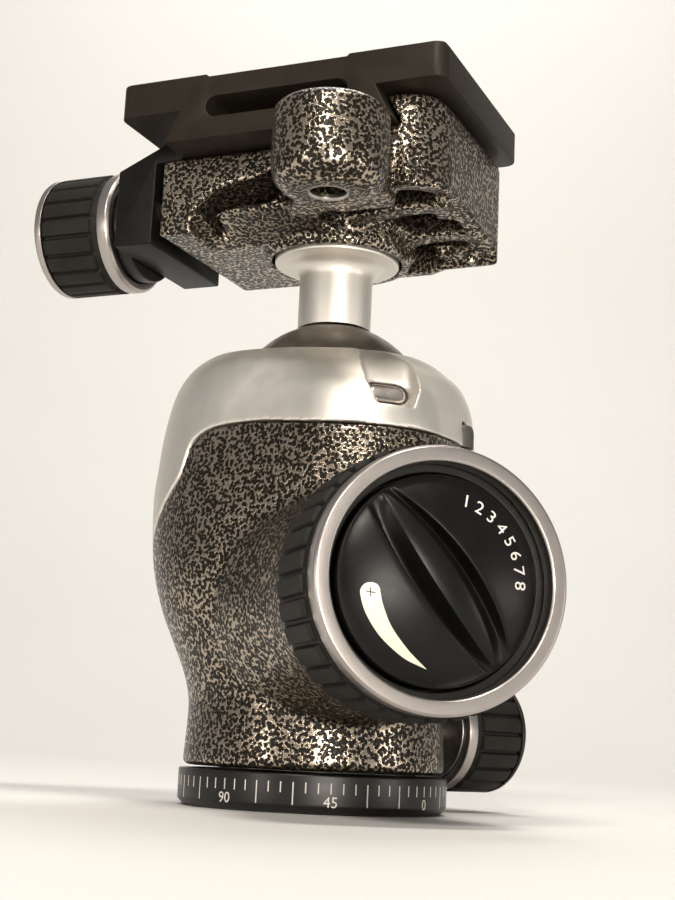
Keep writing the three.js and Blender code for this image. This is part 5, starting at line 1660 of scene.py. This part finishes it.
def card():
    """A floor that curves up into a backdrop, as one sheet."""
    profile = [(card_front, 0), (card_flat, 0)]
    profile += [(card_flat + card_curve * math.sin(a), card_curve - card_curve * math.cos(a))
                for a in np.linspace(0.1, math.pi / 2, 12)]
    profile += [(card_flat + card_curve, card_top)]
    rows = [[(x, y, z - card_drop) for y, z in profile] for x in (-card_half_width, card_half_width)]
    obj = as_object("floor_card", grid_skin(rows, wrap=False, caps=False),
                    Matrix.Rotation(camera_azimuth, 4, "Z"))
    f = Finish("card", "satin_black", roughness=0.7)
    del SLOT["card"]
    f.colour(f.mixed(f.noise(0.01).outputs["Fac"], (0.78, 0.775, 0.76), (0.81, 0.805, 0.79)))
    obj.data.materials.append(f.material)
    obj.data.polygons.foreach_set("use_smooth", [True] * len(obj.data.polygons))
    return obj


print("card faces", len(card().data.polygons))

# %% [markdown]
# The world is nearly dark as a lamp, so that the lamps shape the part and the floor keeps its shadow.
# Camera rays, reflections and clear parts see a brighter one. A single dim world would make polished
# metal black from behind, and a single bright one would wash the shadows out. Light Path tells the two
# kinds of ray apart.

# %% World
world_colour = (0.96, 0.95, 0.93, 1)
lamp_strength = 0.06
seen_strength = 0.3

world = bpy.data.worlds.new("studio")
bpy.context.scene.world = world
world.use_nodes = True
sky = world.node_tree
sky.nodes["Background"].inputs["Color"].default_value = world_colour
path = sky.nodes.new("ShaderNodeLightPath")
seen = path.outputs["Is Camera Ray"]
for ray in ("Is Glossy Ray", "Is Transmission Ray"):
    either = sky.nodes.new("ShaderNodeMath")
    either.operation = "MAXIMUM"
    sky.links.new(seen, either.inputs[0])
    sky.links.new(path.outputs[ray], either.inputs[1])
    seen = either.outputs[0]
level = sky.nodes.new("ShaderNodeMapRange")
level.inputs["To Min"].default_value = lamp_strength
level.inputs["To Max"].default_value = seen_strength
sky.links.new(seen, level.inputs["Value"])
sky.links.new(level.outputs["Result"], sky.nodes["Background"].inputs["Strength"])
print("world nodes", len(sky.nodes))

# %% [markdown]
# Six soft disc lamps light the part. The key stands low near the camera and gives the bright streaks
# down stem and ring. One from above the left shoulder and one straight above model the collar and the
# plate, a weak one at each side keeps the black parts readable, and the last lights only the backdrop.
# Discs are used because their round reflections suit turned metal better than a square window.

# %% Lamps
warm = (1.0, 0.93, 0.84)
middle = (0, 0, 0.06)


def area_light(name, place, aim, size, power, colour):
    data = bpy.data.lights.new(name, "AREA")
    data.shape = "DISK"
    data.size = size
    data.energy = power
    data.color = colour
    obj = bpy.data.objects.new(name, data)
    bpy.context.scene.collection.objects.link(obj)
    obj.location = place
    obj.rotation_euler = (Vector(aim) - Vector(place)).to_track_quat("-Z", "Y").to_euler()
    return obj


lamps = [
    area_light("key", (-0.09, -0.95, 0.00), middle, 0.30, 7.2, warm),
    area_light("front_top", (-0.40, -0.70, 0.60), middle, 0.25, 5.0, warm),
    area_light("top", (0.05, -0.35, 0.95), middle, 0.25, 5.0, warm),
    area_light("left", (-0.90, -0.50, 0.05), middle, 0.2, 1.2, warm),
    area_light("right", (0.75, -0.62, -0.02), middle, 0.35, 2.4, (1.0, 0.94, 0.88)),
    area_light("card", (0.2, 0.5, 1.1), (0, 0.6, 0.1), 0.5, 5.0, (1.0, 0.98, 0.95)),
]
bpy.context.scene.view_settings.view_transform = "Standard"
print("lamps", len(lamps), "total watts", round(sum(lamp.data.energy for lamp in lamps), 1))

# %% [markdown]
# ## Close the script
#
# Nodes without a finer version keep their shape and take one of the finishes here.

# %% Carried-over nodes and their finish
finish_of_slot = {
    "hammered": hammered, "blasted": blasted, "ring_silver": ring_silver, "ball_coat": ball_coat,
    "satin_black": satin_black, "anodised": anodised, "rubber": rubber, "steel": steel, "brass": brass,
    "nylon": nylon, "vial_fluid": fluid,
}
slot_of_node = {sub["node"]: sub["material_slot"] for sub in frame["record"]["subparts"]}
for name, node in frame["nodes"].items():
    node.data.materials.clear()
    node.data.materials.append(finish_of_slot[slot_of_node[name]])
    node.data.polygons.foreach_set("use_smooth", [True] * len(node.data.polygons))
    node.data.set_sharp_from_angle(angle=math.radians(35))

bpy.context.view_layer.update()
